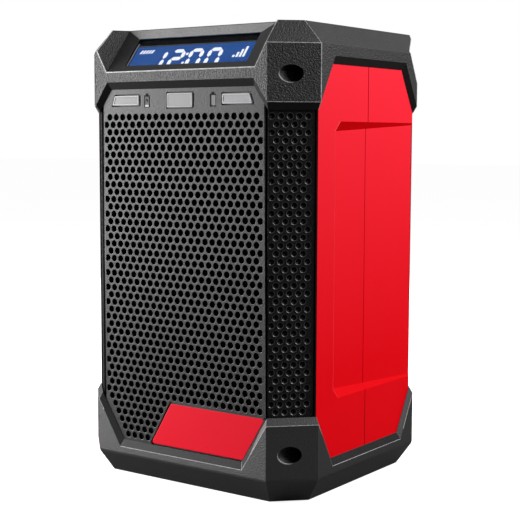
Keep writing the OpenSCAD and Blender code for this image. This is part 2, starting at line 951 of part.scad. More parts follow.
// Light window with a flange behind the grille; side is 1 on the right, -1 on the left
module indicator_window(side) {
  mirror([side < 0 ? 1 : 0, 0, 0])
  on_face(0, face_y) {
    translate([0, 0, -grille_t])
    linear_extrude(grille_t + trim_proud)
    led_outline(0);
    translate([0, 0, -grille_t - 1])
    linear_extrude(1)
    led_outline(1);
  }
}

module charge_window() {
  color([0.72, 0.72, 0.72])
  indicator_window(-1);
}

module battery_window() {
  color([0.72, 0.72, 0.72])
  indicator_window(1);
}

module indicator_board() {
  board_y = -baffle_y - board_t;
  half = led_x + led_w + 3;
  color([0.05, 0.3, 0.14])
  translate([-half, board_y, led_z - 2])
  cube([2 * half, board_t, led_h + 4]);
  color([0.9, 0.9, 0.85])
  for (x = [-1, 1], i = [0 : 3])
    translate([x * (led_x + 3 + i * 4.5) - 1, board_y - 1, led_z + 2])
    cube([2, 1, 2]);
}

// A cone that narrows into the panel at 45 degrees
module dimple() {
  cylinder(r1 = hole_d / 2 - dimple_depth, r2 = hole_d / 2 + over, h = dimple_depth + over, $fn = 24);
}

// Dimpled panel of the front right corner
module corner_panel() {
  width = panel_edge() + 7.9;
  middle = panel_edge() - width / 2;
  intersection() {
    difference() {
      rotate([0, 0, 45])
      translate([panel_edge() - width, -panel_far, panel_low])
      cube([width, panel_t, panel_high - panel_low]);
      rotate([0, 0, 45])
      translate([middle - 0.8, -panel_far, 0])
      rotate([90, 0, 0])
      for (row = [0 : dimple_rows - 1])
        for (i = [0 : 4 - row % 2])
          translate([(i - 2 + row % 2 / 2) * dimple_pitch, hole_top - row * hole_pitch_z, -dimple_depth])
          dimple();
    }
    translate([grille_half + 1.2, -half_d, 0])
    cube([half_w, half_d, body_h]);
  }
}

module right_front_corner_panel() {
  color([0.08, 0.08, 0.08])
  corner_panel();
}

module left_front_corner_panel() {
  color([0.08, 0.08, 0.08])
  mirror([1, 0, 0])
  corner_panel();
}

module right_rear_corner_panel() {
  color([0.08, 0.08, 0.08])
  mirror([0, 1, 0])
  corner_panel();
}

module left_rear_corner_panel() {
  color([0.08, 0.08, 0.08])
  mirror([1, 0, 0])
  mirror([0, 1, 0])
  corner_panel();
}

rear_t = 3;
vent_w = 10;
vent_h = 2.6;
vent_pitch_x = 14;
vent_pitch_z = 6.4;
vent_first = port_high() + 8;
vent_rows = 1 + floor((plate_high - 10 - vent_h - vent_first) / vent_pitch_z);

// Rear panel with the battery opening, the port tub's opening and the vents
module rear_panel() {
  panel_y = face_y - rear_t;
  color([0.1, 0.1, 0.11])
  difference() {
    union() {
      translate([-grille_half, panel_y, plate_low])
      cube([2 * grille_half, rear_t, plate_high - plate_low]);
      for (x = [-grille_half, grille_half - 2])
        translate([x, baffle_y, base_top])
        cube([2, panel_y - baffle_y + over, panel_high - base_top]);
    }
    translate([-bay_half, panel_y - over, bay_low])
    cube([2 * bay_half, rear_t + 2 * over, bay_h]);
    translate([-port_half() - fit, panel_y - over, port_low() - fit])
    cube([2 * (port_half() + fit), rear_t + 2 * over, port_high() - port_low() + 2 * fit]);
    for (row = [0 : 1 : vent_rows - 1], i = [-3 : 3])
      translate([i * vent_pitch_x - vent_w / 2, panel_y - over, vent_first + row * vent_pitch_z])
      cube([vent_w, rear_t + 2 * over, vent_h]);
  }
}

tub_rim = 3;
tub_rim_t = 1.8;

// Tub of the ports, with a rim behind the rear panel and lugs for the door's pin
module port_tub() {
  color([0.1, 0.1, 0.11]) {
    difference() {
      union() {
        translate([-port_half(), port_floor - 2, port_low()])
        cube([2 * port_half(), face_y - port_floor + 2, port_high() - port_low()]);
        translate([-port_half() - tub_rim, face_y - rear_t - fit - tub_rim_t, port_low() - tub_rim])
        cube([2 * (port_half() + tub_rim), tub_rim_t, port_high() - port_low() + 2 * tub_rim]);
      }
      port_bay_cut();
    }
    hinge_lugs();
  }
}

module port_bay_cut() {
  // room for the door leaf and its knuckle, then the bay behind the door's landing
  translate([-door_half - fit, door_front - 0.3, hinge_z - knuckle_r - 0.45])
  cube([2 * (door_half + fit), face_y, door_h + knuckle_r + 0.45 + fit]);
  translate([-door_half - fit, hinge_y - knuckle_r - 0.4, hinge_z - knuckle_r - 0.45])
  cube([2 * (door_half + fit), face_y, 2 * knuckle_r + 1.2]);
  translate([-door_half + 3, port_floor, hinge_z + knuckle_r + 0.5])
  cube([2 * (door_half - 3), face_y, door_h - knuckle_r - 4]);
  translate([-16, port_floor - 3, port_z])
  rotate([-90, 0, 0])
  linear_extrude(4)
  square([usb_w + 2 * fit, usb_h + 2 * fit], center = true);
  translate([4, port_floor - 3, port_z])
  rotate([-90, 0, 0])
  cylinder(r = 4 + fit, h = 4, $fn = 32);
  translate([19, port_floor - 3, port_z])
  rotate([-90, 0, 0])
  cylinder(r = 5 + fit, h = 4, $fn = 32);
}

lug_in = 24;
lug_t = 4;

module hinge_lugs() {
  both_sides()
  difference() {
    translate([lug_in, hinge_y - knuckle_r - 0.4, hinge_z - knuckle_r - 0.45])
    cube([lug_t, 2 * knuckle_r + 0.3, 2 * knuckle_r]);
    translate([lug_in - over, hinge_y, hinge_z])
    rotate([0, 90, 0])
    cylinder(r = pin_r, h = lug_t + 2 * over, $fn = 24);
  }
}

// Door, hinge and connectors

module port_door() {
  color([0.09, 0.09, 0.1]) {
    difference() {
      union() {
        translate([-door_half, door_front, hinge_z + knuckle_r + 1])
        cube([2 * door_half, door_t, door_h - knuckle_r - 1]);
        translate([-lug_in + fit, door_front, hinge_z])
        cube([2 * (lug_in - fit), door_t, knuckle_r + 2]);
        translate([-lug_in + fit, hinge_y, hinge_z])
        rotate([0, 90, 0])
        cylinder(r = knuckle_r, h = 2 * (lug_in - fit), $fn = 32);
      }
      translate([-door_half, hinge_y, hinge_z])
      rotate([0, 90, 0])
      cylinder(r = pin_r + running, h = 2 * door_half, $fn = 24);
      // finger notch along the top edge
      translate([-9, face_y - 1.2, hinge_z + door_h - 3])
      cube([18, 3, 4]);
    }
  }
}

module door_seal() {
  outer_half = door_half - 3.6;
  low = hinge_z + knuckle_r + 1.4;
  high = hinge_z + door_h - 4.6;
  color([0.03, 0.03, 0.03])
  translate([0, door_front, 0])
  rotate([90, 0, 0])
  linear_extrude(1.4)
  difference() {
    translate([-outer_half, low])
    square([2 * outer_half, high - low]);
    translate([-outer_half + 1.2, low + 1.2])
    square([2 * outer_half - 2.4, high - low - 2.4]);
  }
}

module hinge_pin() {
  color([0.7, 0.7, 0.72])
  translate([-lug_in - lug_t, hinge_y, hinge_z])
  rotate([0, 90, 0])
  cylinder(r = pin_r, h = 2 * (lug_in + lug_t), $fn = 24);
}

usb_w = 14;
usb_h = 6.4;
port_length = port_floor + 1 - main_board_y - board_t;

module usb_port() {
  color([0.72, 0.72, 0.74])
  translate([-16, main_board_y + board_t, port_z])
  rotate([-90, 0, 0])
  difference() {
    linear_extrude(port_length)
    square([usb_w, usb_h], center = true);
    translate([0, 0, 2])
    linear_extrude(port_length)
    difference() {
      square([12.6, 5.1], center = true);
      translate([0, 0.9])
      square([11, 1.9], center = true);
    }
  }
}

module audio_jack() {
  color([0.06, 0.06, 0.06])
  translate([4, main_board_y + board_t, port_z])
  rotate([-90, 0, 0])
  difference() {
    cylinder(r = 4, h = port_length, $fn = 32);
    translate([0, 0, 2])
    cylinder(d = jack_d, h = port_length, $fn = 32);
  }
}

module power_inlet() {
  color([0.06, 0.06, 0.06])
  translate([19, main_board_y + board_t, port_z])
  rotate([-90, 0, 0]) {
    difference() {
      cylinder(r = 5, h = port_length, $fn = 32);
      translate([0, 0, 2])
      cylinder(d = inlet_d, h = port_length, $fn = 32);
    }
    cylinder(r = 1, h = port_length - 1, $fn = 24);
  }
}

// Display stack, from the front to the back

module display_bezel() {
  high = notch_len - 0.4;
  color([0.1, 0.1, 0.1])
  on_slope()
  difference() {
    translate([0, 0, -bezel_depth])
    linear_extrude(bezel_depth)
    slope_rect(notch_half - fit, 0.4, high);
    tapered_cut(
      [[-notch_half, 0.2], [notch_half, 0.2], [notch_half, high], [-notch_half, high]],
      [[-window_half, window_low], [window_half, window_low],
        [window_half, window_high], [-window_half, window_high]],
      funnel_depth
    );
    translate([0, 0, -bezel_depth - over])
    linear_extrude(bezel_depth + 2 * over)
    slope_rect(window_half, window_low, window_high);
    translate([0, 0, -bezel_depth - over])
    linear_extrude(bezel_depth + over - lens_seat)
    slope_rect(window_half + 2.5 + fit, window_low - 1.2 - fit, window_high + 1.2 + fit);
  }
}

module display_lens() {
  color([0.5, 0.55, 0.6, 0.4])
  on_slope()
  translate([0, 0, -lens_seat - lens_t])
  linear_extrude(lens_t)
  slope_rect(window_half + 2.5, window_low - 1.2, window_high + 1.2);
}

module lcd_cell() {
  color([0.18, 0.33, 0.6])
  on_slope()
  translate([0, 0, -lcd_seat - lcd_t])
  linear_extrude(lcd_t)
  slope_rect(window_half + 2.3, window_low - 1, window_high + 1);
}

module lcd_holder() {
  color([0.85, 0.85, 0.85])
  on_slope()
  translate([0, 0, -holder_seat - holder_t])
  linear_extrude(holder_t)
  slope_rect(window_half + 5.2, ledge + 0.4, notch_len - ledge - 0.4);
}

module display_board() {
  color([0.05, 0.3, 0.14])
  on_slope()
  translate([0, 0, -holder_seat - holder_t - board_t - 0.2])
  linear_extrude(board_t)
  slope_rect(window_half + 5.2, ledge + 0.4, notch_len - ledge - 0.4);
}

// Keys

// Each key: [x, y, width, depth, corner radius]
power_at = [-34, -22, 15, 15, 7.4];
source_at = [-12, -22, 18, 12, 2.5];
equalizer_at = [11, -22, 18, 12, 2.5];
menu_at = [34, -22, 18, 12, 2.5];
volume_down_at = [-35, 2, 17, 15, 2.5];
volume_up_at = [-13, 2, 17, 15, 2.5];
tune_down_at = [13, 2, 17, 15, 2.5];
tune_up_at = [35, 2, 17, 15, 2.5];
preset_1_at = [-28, 26, 22, 11, 2.5];
preset_2_at = [0, 26, 22, 11, 2.5];
preset_3_at = [28, 26, 22, 11, 2.5];
all_keys = [
  power_at, source_at, equalizer_at, menu_at,
  volume_down_at, volume_up_at, tune_down_at, tune_up_at,
  preset_1_at, preset_2_at, preset_3_at
];

module control_panel() {
  color([0.12, 0.12, 0.13])
  difference() {
    translate([-keys_half, keys_front, keys_under])
    cube([2 * keys_half, keys_rear - keys_front, keys_t]);
    for (k = all_keys)
      translate([k[0], k[1], keys_under - over])
      linear_extrude(keys_t + 2 * over)
      rounded(k[2] + 2 * key_gap, k[3] + 2 * key_gap, k[4] + key_gap);
  }
}

// Key head, a wider flange under the panel, and the post over its dome
module key(k) {
  flange_top = keys_under - 0.3;
  flange_low = flange_top - key_flange;
  post_low = key_board_top + mat_t + dome_h + key_travel + 0.3;
  color([0.2, 0.2, 0.21])
  translate([k[0], k[1], 0]) {
    translate([0, 0, flange_top])
    linear_extrude(key_top - flange_top)
    rounded(k[2], k[3], k[4]);
    translate([0, 0, flange_low])
    linear_extrude(key_flange)
    rounded(k[2] + 2, k[3] + 2, k[4] + 1);
    translate([0, 0, post_low])
    cylinder(r = 2.2, h = flange_low - post_low, $fn = 24);
  }
}

module power_key() key(power_at);
module source_key() key(source_at);
module equalizer_key() key(equalizer_at);
module menu_key() key(menu_at);
module volume_down_key() key(volume_down_at);
module volume_up_key() key(volume_up_at);
module tune_down_key() key(tune_down_at);
module tune_up_key() key(tune_up_at);
module preset_1_key() key(preset_1_at);
module preset_2_key() key(preset_2_at);
module preset_3_key() key(preset_3_at);

module keypad_mat() {
  color([0.3, 0.3, 0.3]) {
    translate([-keys_half + 4, keys_front + 4, key_board_top])
    cube([2 * (keys_half - 4), keys_rear - keys_front - 8, mat_t]);
    for (k = all_keys)
      translate([k[0], k[1], key_board_top + mat_t])
      cylinder(r1 = 4, r2 = 3, h = dome_h, $fn = 24);
  }
}

module keypad_board() {
  color([0.05, 0.3, 0.14])
  translate([-keys_half - 2, keys_front - 1.5, key_board_top - board_t])
  cube([2 * (keys_half + 2), keys_rear - keys_front + 3, board_t]);
}

// Speaker, on an axis that points to the front; heights here are distances from the middle

module on_speaker_axis() {
  translate([0, 0, speaker_z])
  rotate([90, 0, 0])
  children();
}

module at_speaker_screws() {
  for (a = [45 : 90 : 315])
    translate([0, 0, speaker_z])
    rotate([0, a, 0])
    translate([0, 0, 48.4])
    rotate([-90, 0, 0])
    children();
}

gasket_t = 0.8;
flange_back = baffle_y + gasket_t;
magnet_front = flange_back - basket_depth;
roll_out = baffle_hole_r - 0.6;
cone_gap = 0.4;

module speaker_gasket() {
  color([0.05, 0.05, 0.05])
  on_speaker_axis()
  translate([0, 0, baffle_y])
  difference() {
    cylinder(r = flange_r, h = gasket_t, $fn = 96);
    translate([0, 0, -over])
    cylinder(r = baffle_hole_r, h = gasket_t + 2 * over, $fn = 96);
  }
}

// Stamped frame: flange, tapering bucket with four windows, rear plate
module speaker_basket() {
  neck = 22;
  color([0.1, 0.1, 0.1])
  difference() {
    on_speaker_axis()
    rotate_extrude($fn = 96)
    polygon([
      [roll_out - 1.4, flange_back + flange_t],
      [flange_r, flange_back + flange_t],
      [flange_r, flange_back],
      [roll_out, flange_back],
      [neck + 3, magnet_front + 2],
      [neck + 3, magnet_front],
      [coil_r + 3, magnet_front],
      [coil_r + 3, magnet_front + 2],
      [neck, magnet_front + 2],
      [roll_out - 1.4, flange_back - 2]
    ]);
    for (a = [0 : 90 : 270])
      on_speaker_axis()
      rotate([0, 0, a + 45])
      translate([neck + 2, -9, magnet_front + 6])
      cube([flange_r, 18, basket_depth - 14]);
    at_speaker_screws()
    translate([0, 0, -flange_back - flange_t - over])
    cylinder(r = 1.6, h = flange_t + 2 * over, $fn = 24);
  }
}

// Half-round rubber roll between the basket and the cone
module speaker_surround() {
  inner = cone_r + cone_gap;
  middle = (roll_out - 1.8 + inner) / 2;
  roll_r = middle - inner;
  color([0.04, 0.04, 0.04])
  on_speaker_axis()
  translate([0, 0, flange_back - 1.6])
  rotate_extrude($fn = 96)
  translate([middle, 0])
  intersection() {
    difference() {
      circle(roll_r, $fn = 48);
      circle(roll_r - 0.8, $fn = 48);
    }
    translate([-roll_r, 0])
    square([2 * roll_r, roll_r]);
  }
}

module speaker_cone() {
  front = flange_back - 1.2;
  color([0.12, 0.12, 0.13])
  on_speaker_axis()
  rotate_extrude($fn = 96)
  polygon([
    [cone_r, front],
    [cone_r, front - 0.9],
    [coil_r + 0.8, front - cone_depth - 0.9],
    [coil_r, front - cone_depth - 0.9],
    [coil_r, front - cone_depth]
  ]);
}

module dust_cap() {
  front = flange_back - 1.2;
  rim = coil_r + 1.2;
  seat = front - cone_depth + (rim - coil_r) * cone_depth / (cone_r - coil_r) + 0.1;
  color([0.1, 0.1, 0.11])
  on_speaker_axis()
  rotate_extrude($fn = 64)
  intersection() {
    translate([0, seat - 11])
    difference() {
      circle(sqrt(pow(rim, 2) + 121), $fn = 96);
      circle(sqrt(pow(rim, 2) + 121) - 0.7, $fn = 96);
    }
    translate([0, seat])
    square([rim, 20]);
  }
}

module voice_coil() {
  top = flange_back - 1.2 - cone_depth - 0.9;
  color([0.72, 0.45, 0.2])
  on_speaker_axis()
  translate([0, 0, magnet_front - 5])
  difference() {
    cylinder(r = coil_r, h = top - magnet_front + 5, $fn = 64);
    translate([0, 0, -over])
    cylinder(r = coil_r - 0.6, h = top - magnet_front + 5 + 2 * over, $fn = 64);
  }
}

// Ring magnet with its plates; the coil runs in the gap round the pole
module speaker_magnet() {
  color([0.25, 0.25, 0.26])
  on_speaker_axis()
  difference() {
    translate([0, 0, magnet_front - magnet_t])
    cylinder(r = magnet_r, h = magnet_t, $fn = 64);
    translate([0, 0, magnet_front - 9])
    difference() {
      cylinder(r = coil_r + 0.6, h = 9 + over, $fn = 64);
      translate([0, 0, -over])
      cylinder(r = coil_r - 1.2, h = 9 + 3 * over, $fn = 64);
    }
  }
}

// Battery, its dock and its latches

module battery_dock() {
  back = face_y - 3 - fit;
  color([0.13, 0.13, 0.14])
  difference() {
    union() {
      translate([-bay_half - bay_wall, bay_floor - bay_wall, bay_low - bay_wall])
      cube([2 * (bay_half + bay_wall), back - bay_floor + bay_wall, bay_h + 2 * bay_wall]);
      translate([-stem_half - bay_wall, stem_wall - bay_wall, bay_mid - stem_room - bay_wall])
      cube([2 * (stem_half + bay_wall), bay_floor - stem_wall, 2 * (stem_room + bay_wall)]);
    }
    translate([-bay_half, bay_floor, bay_low])
    cube([2 * bay_half, half_d, bay_h]);
    translate([-stem_half, stem_wall, bay_mid - stem_room])
    cube([2 * stem_half, half_d, 2 * stem_room]);
  }
}

blade_xs = [-14, 0, 14];
blade_len = 9;
blade_t = 0.8;
blade_h = 8;

module battery_terminals() {
  color([0.78, 0.62, 0.3])
  for (x = blade_xs)
    translate([x - blade_t / 2, stem_wall, bay_mid - blade_h / 2])
    cube([blade_t, blade_len + stem_end - stem_wall, blade_h]);
}

latch_y = 12;
latch_h = 26;
latch_t = 3;
latch_out = 0.8;

module battery_pack() {
  latch_room = latch_t - latch_out + latch_travel + 0.4;
  color([0.12, 0.12, 0.12])
  difference() {
    union() {
      translate([-pack_w / 2, pack_front, bay_mid - pack_h / 2])
      cube([pack_w, pack_t, pack_h]);
      translate([-stem_w / 2, stem_end, bay_mid - stem_h / 2])
      cube([stem_w, stem_len + over, stem_h]);
    }
    for (x = blade_xs)
      translate([x - blade_t / 2 - 0.4, stem_end - over, bay_mid - blade_h / 2 - 0.4])
      cube([blade_t + 0.8, blade_len + over + 0.8, blade_h + 0.8]);
    for (x = [-pack_w / 2 - over, pack_w / 2 - latch_room])
      translate([x, pack_front + 4, bay_mid - latch_h / 2 - 0.4])
      cube([latch_room + over, latch_y + 0.8, latch_h + 0.8]);
  }
}

module battery_latch() {
  color([0.7, 0.05, 0.07])
  translate([pack_w / 2 - latch_t + latch_out, pack_front + 4.4, bay_mid - latch_h / 2])
  cube([latch_t, latch_y, latch_h]);
}

module right_battery_latch() battery_latch();

module left_battery_latch() {
  mirror([1, 0, 0])
  battery_latch();
}

// Boards and the parts they carry

module main_board() {
  half = screw_x - boss_r - 9;
  low = bay_high + bay_wall + 2;
  high = core_top - housing_wall - 9;
  color([0.05, 0.3, 0.14]) {
    translate([-half, main_board_y, low])
    cube([2 * half, board_t, high - low]);
    for (part = [
      [-30, high - 38, 22, 14], [6, high - 42, 16, 16], [30, high - 32, 14, 10], [-34, low + 20, 12, 12]
    ])
      translate([part[0], main_board_y - 2, part[1]])
      cube([part[2], 2, part[3]]);
  }
}

charger_z = bay_mid + stem_room + bay_wall + 3;

module charger_board() {
  color([0.05, 0.3, 0.14]) {
    translate([-27, 2, charger_z])
    cube([54, bay_floor - bay_wall - 6, board_t]);
    for (x = [-24, 24], y = [5, bay_floor - bay_wall - 7])
      translate([x, y, charger_z - 3])
      cylinder(r = 2, h = 3, $fn = 24);
    for (x = [-21, 21])
      translate([x, bay_floor / 2, charger_z + board_t])
      cylinder(r = 4, h = 11, $fn = 32);
  }
}

module heat_sink() {
  color([0.75, 0.75, 0.77])
  translate([-13, 8, charger_z + board_t]) {
    cube([26, 26, 2]);
    for (i = [0 : 5])
      translate([i * 4.9, 0, 1])
      cube([1.5, 26, 11]);
  }
}

module ferrite_antenna() {
  color([0.15, 0.13, 0.12])
  translate([-45, antenna_y, antenna_z])
  rotate([0, 90, 0])
  cylinder(r = antenna_r, h = 90, $fn = 32);
}

// Corner screws: pan head with a hollow drive, and a shank into the rear half
module corner_screws() {
  seat = -screw_seat - sleeve_floor;
  color([0.5, 0.5, 0.52])
  at_corner_screws(seat)
  difference() {
    union() {
      translate([0, 0, -screw_head_h])
      cylinder(r = screw_hole_d / 2 - 1, h = screw_head_h, $fn = 32);
      cylinder(d = screw_d, h = screw_len, $fn = 32);
    }
    translate([0, 0, -screw_head_h - over])
    cylinder(r = 1.7, h = over + 2, $fn = 6);
  }
}

base_bumper();
top_cap();
front_housing();
rear_housing();
front_grille();
grille_cloth();
right_front_corner_panel();
left_front_corner_panel();
right_rear_corner_panel();
left_rear_corner_panel();
rear_panel();
port_tub();
name_plate();
front_badge();
charge_window();
battery_window();
indicator_board();
display_bezel();
display_lens();
lcd_cell();
lcd_holder();
display_board();
control_panel();
keypad_mat();
keypad_board();
power_key();
source_key();
equalizer_key();
menu_key();
volume_down_key();
volume_up_key();
tune_down_key();
tune_up_key();
preset_1_key();
preset_2_key();
preset_3_key();
speaker_basket();
speaker_gasket();
speaker_surround();
speaker_cone();
voice_coil();
dust_cap();
speaker_magnet();
battery_dock();
battery_terminals();
battery_pack();
left_battery_latch();
right_battery_latch();
main_board();
charger_board();
heat_sink();
ferrite_antenna();
port_door();
door_seal();
hinge_pin();
usb_port();
audio_jack();
power_inlet();
corner_screws();
rubber_feet();
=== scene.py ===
import json
import math

import bmesh
import bpy
import numpy as np
from mathutils import Matrix, Vector, geometry


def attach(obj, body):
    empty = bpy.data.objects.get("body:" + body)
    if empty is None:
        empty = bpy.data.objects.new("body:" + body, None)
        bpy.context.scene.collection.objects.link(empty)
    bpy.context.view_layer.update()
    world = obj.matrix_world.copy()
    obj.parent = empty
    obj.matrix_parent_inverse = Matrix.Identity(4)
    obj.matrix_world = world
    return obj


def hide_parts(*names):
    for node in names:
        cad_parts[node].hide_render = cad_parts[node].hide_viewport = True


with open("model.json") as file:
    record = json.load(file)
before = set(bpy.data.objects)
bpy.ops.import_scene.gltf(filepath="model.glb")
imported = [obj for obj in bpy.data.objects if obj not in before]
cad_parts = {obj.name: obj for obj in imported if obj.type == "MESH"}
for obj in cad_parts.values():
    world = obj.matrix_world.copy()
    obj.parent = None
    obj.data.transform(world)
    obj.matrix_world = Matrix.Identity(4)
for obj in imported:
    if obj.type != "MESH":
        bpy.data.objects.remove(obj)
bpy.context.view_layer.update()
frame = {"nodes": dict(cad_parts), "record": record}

nodes = frame["nodes"]
record = frame["record"]
bodyOf = {part: body for body, parts in record["behaviour"]["bodies"].items() for part in parts}
slotOf = {row["node"]: row["material_slot"] for row in record["subparts"]}
scene = bpy.context.scene
scene.view_settings.view_transform = "Standard"


# --- camera, floor and light

view = {
    "focal": 1227.65,  # in pixels of the square picture
    "picture": 520,
    "sensor": 36.0,
    "place": (0.44198, -0.60896, 0.20201),
    "yaw": 35.712,
    "pitch": -5.693,
    "roll": 0.156,
    "near": 0.02,
    "far": 60,
}


def makeCamera():
    # forward is +Y turned left by yaw and down by pitch; the picture is then rolled about it
    yaw, pitch, roll = (math.radians(view[key]) for key in ("yaw", "pitch", "roll"))
    forward = Vector((-math.sin(yaw) * math.cos(pitch), math.cos(yaw) * math.cos(pitch), math.sin(pitch)))
    level = Vector((math.cos(yaw), math.sin(yaw), 0))
    right = level * math.cos(roll) + level.cross(forward) * math.sin(roll)
    data = bpy.data.cameras.new("viewCamera")
    data.sensor_width = view["sensor"]
    data.lens = view["focal"] / view["picture"] * view["sensor"]
    data.clip_start = view["near"]
    data.clip_end = view["far"]
    camera = bpy.data.objects.new("viewCamera", data)
    turn = Matrix((right, right.cross(forward), -forward)).transposed().to_4x4()
    camera.matrix_world = Matrix.Translation(view["place"]) @ turn
    scene.collection.objects.link(camera)
    scene.camera = camera


lamps = {
    "frontSoftbox": {"place": (-0.78, -0.52, 0.28), "aim": (0, 0, 0.15), "size": (0.34, 0.5), "watts": 15.2},
    "sideSoftbox": {"place": (0.64, 0.22, 0.64), "aim": (0.08, 0, 0.18), "size": (0.5, 0.5), "watts": 7.1},
    "rearSoftbox": {"place": (-0.62, 0.72, 0.36), "aim": (0, 0, 0.14), "size": (0.4, 0.5), "watts": 8.0},
}
surround = {"fill": 0.17, "seen": 1.0, "floor": 0.17, "floorSeen": 0.88, "floorTaken": 0.6, "reach": 8.0}


def softbox(name, place, aim, size, watts):
    data = bpy.data.lights.new(name, "AREA")
    data.shape = "RECTANGLE"
    data.size, data.size_y = size
    data.energy = watts
    lamp = bpy.data.objects.new(name, data)
    away = Vector(place) - Vector(aim)
    lamp.matrix_world = Matrix.Translation(place) @ away.to_track_quat("Z", "Y").to_matrix().to_4x4()
    scene.collection.objects.link(lamp)


def put(tree, kind, ins=None, **props):
    # adds a node; ins are sockets to link from or plain values, by name or number
    node = tree.nodes.new(kind)
    for key, value in props.items():
        setattr(node, key, value)
    for key, value in (ins or {}).items():
        if isinstance(value, bpy.types.NodeSocket):
            tree.links.new(value, node.inputs[key])
        else:
            node.inputs[key].default_value = value
    return node


def emptyTree(owner):
    owner.use_nodes = True
    owner.node_tree.nodes.clear()
    return owner.node_tree


def seenDirectly(tree):
    # 1 for rays from the camera or through the clear window, 0 for mirrored and bounced ones
    rays = put(tree, "ShaderNodeLightPath").outputs
    return put(tree, "ShaderNodeMath", {0: rays["Is Camera Ray"], 1: rays["Is Transmission Ray"]},
               operation="MAXIMUM").outputs[0]


def makeSurround():
    # to the eye, backdrop and floor are white; as sources of light they are dim, so that blacks stay black
    world = bpy.data.worlds.new("paleStudio")
    scene.world = world
    tree = emptyTree(world)
    level = put(tree, "ShaderNodeMapRange",
                {0: seenDirectly(tree), "To Min": surround["fill"], "To Max": surround["seen"]})
    glow = put(tree, "ShaderNodeBackground", {"Color": (1, 1, 1, 1), "Strength": level.outputs[0]})
    put(tree, "ShaderNodeOutputWorld", {"Surface": glow.outputs[0]})

    floorMesh = bpy.data.meshes.new("paleFloor")
    reach = surround["reach"]
    floorMesh.from_pydata([(-reach, -reach, 0), (reach, -reach, 0), (reach, reach, 0), (-reach, reach, 0)],
                          [], [(0, 1, 2, 3)])
    floor = bpy.data.objects.new("paleFloor", floorMesh)
    scene.collection.objects.link(floor)
    material = bpy.data.materials.new("paleFloor")
    tree = emptyTree(material)
    pale = put(tree, "ShaderNodeBsdfDiffuse", {"Color": (surround["floor"],) * 3 + (1,)})
    taken = put(tree, "ShaderNodeBsdfDiffuse", {"Color": (surround["floorTaken"],) * 3 + (1,)})
    glow = put(tree, "ShaderNodeEmission", {"Strength": surround["floorSeen"]})
    both = put(tree, "ShaderNodeAddShader", {0: taken.outputs[0], 1: glow.outputs[0]})
    mix = put(tree, "ShaderNodeMixShader", {0: seenDirectly(tree), 1: pale.outputs[0], 2: both.outputs[0]})
    put(tree, "ShaderNodeOutputMaterial", {"Surface": mix.outputs[0]})
    floorMesh.materials.append(material)


makeCamera()
for name, settings in lamps.items():
    softbox(name, **settings)
makeSurround()
print("camera, floor and light are up")


# --- finishes

def paint(red, green, blue):
    # a colour as a screen gives it, 0 to 255, made linear
    shares = np.array((red, green, blue)) / 255
    linear = np.where(shares <= 0.04045, shares / 12.92, ((shares + 0.055) / 1.055) ** 2.4)
    return tuple(linear.tolist()) + (1.0,)


def newGroup(name, inputs, outputs):
    tree = bpy.data.node_groups.new(name, "ShaderNodeTree")
    for label, kind, value in inputs:
        socket = tree.interface.new_socket(name=label, in_out="INPUT", socket_type="NodeSocket" + kind)
        if value is not None:
            socket.default_value = value
    for label, kind in outputs:
        tree.interface.new_socket(name=label, in_out="OUTPUT", socket_type="NodeSocket" + kind)
    return tree, tree.nodes.new("NodeGroupInput").outputs, tree.nodes.new("NodeGroupOutput").inputs


def mathNode(tree, operation, first, second=0.0, third=0.0):
    return put(tree, "ShaderNodeMath", {0: first, 1: second, 2: third}, operation=operation).outputs[0]


def makeMouldGrain():
    # moulded plastic: fine pits and a slow drift of tone; Cell is the pit size in mm
    tree, given, out = newGroup(
        "mouldGrain",
        [("Vector", "Vector", None), ("Cell", "Float", 0.5), ("Drift", "Float", 0.35)],
        [("Height", "Float"), ("Tone", "Float")])
    dense = mathNode(tree, "DIVIDE", 1.0, given["Cell"])
    pits = put(tree, "ShaderNodeTexNoise", {"Vector": given["Vector"], "Scale": dense, "Detail": 3.0,
                                            "Roughness": 0.6})
    cells = put(tree, "ShaderNodeTexVoronoi", {"Vector": given["Vector"], "Scale": dense}, feature="SMOOTH_F1")
    slow = put(tree, "ShaderNodeTexNoise", {"Vector": given["Vector"], "Scale": 0.03, "Detail": 3.0})
    height = mathNode(tree, "MULTIPLY_ADD", cells.outputs["Distance"], 0.45,
                      mathNode(tree, "MULTIPLY", pits.outputs["Fac"], 0.8))
    tree.links.new(height, out["Height"])
    fine = put(tree, "ShaderNodeMapRange", {0: pits.outputs["Fac"], "From Min": 0.3, "From Max": 0.7})
    tone = put(tree, "ShaderNodeMix", {0: given["Drift"], 2: fine.outputs[0], 3: slow.outputs["Fac"]})
    tree.links.new(tone.outputs[0], out["Tone"])
    return tree


def makeHandling():
    # smudges and light scuffs from use, in patches of Size mm
    tree, given, out = newGroup(
        "handlingWearHighlight",
        [("Vector", "Vector", None), ("Size", "Float", 30.0), ("Cover", "Float", 0.5)],
        [("Mask", "Float")])
    dense = mathNode(tree, "DIVIDE", 1.0, given["Size"])
    wide = put(tree, "ShaderNodeTexNoise", {"Vector": given["Vector"], "Scale": dense, "Detail": 6.0,
                                            "Roughness": 0.65, "Distortion": 0.4})
    low = mathNode(tree, "SUBTRACT", 0.75, mathNode(tree, "MULTIPLY", given["Cover"], 0.5))
    mask = put(tree, "ShaderNodeMapRange", {0: wide.outputs["Fac"], 1: low, 2: mathNode(tree, "ADD", low, 0.25)},
               interpolation_type="SMOOTHSTEP")
    tree.links.new(mask.outputs[0], out["Mask"])
    return tree


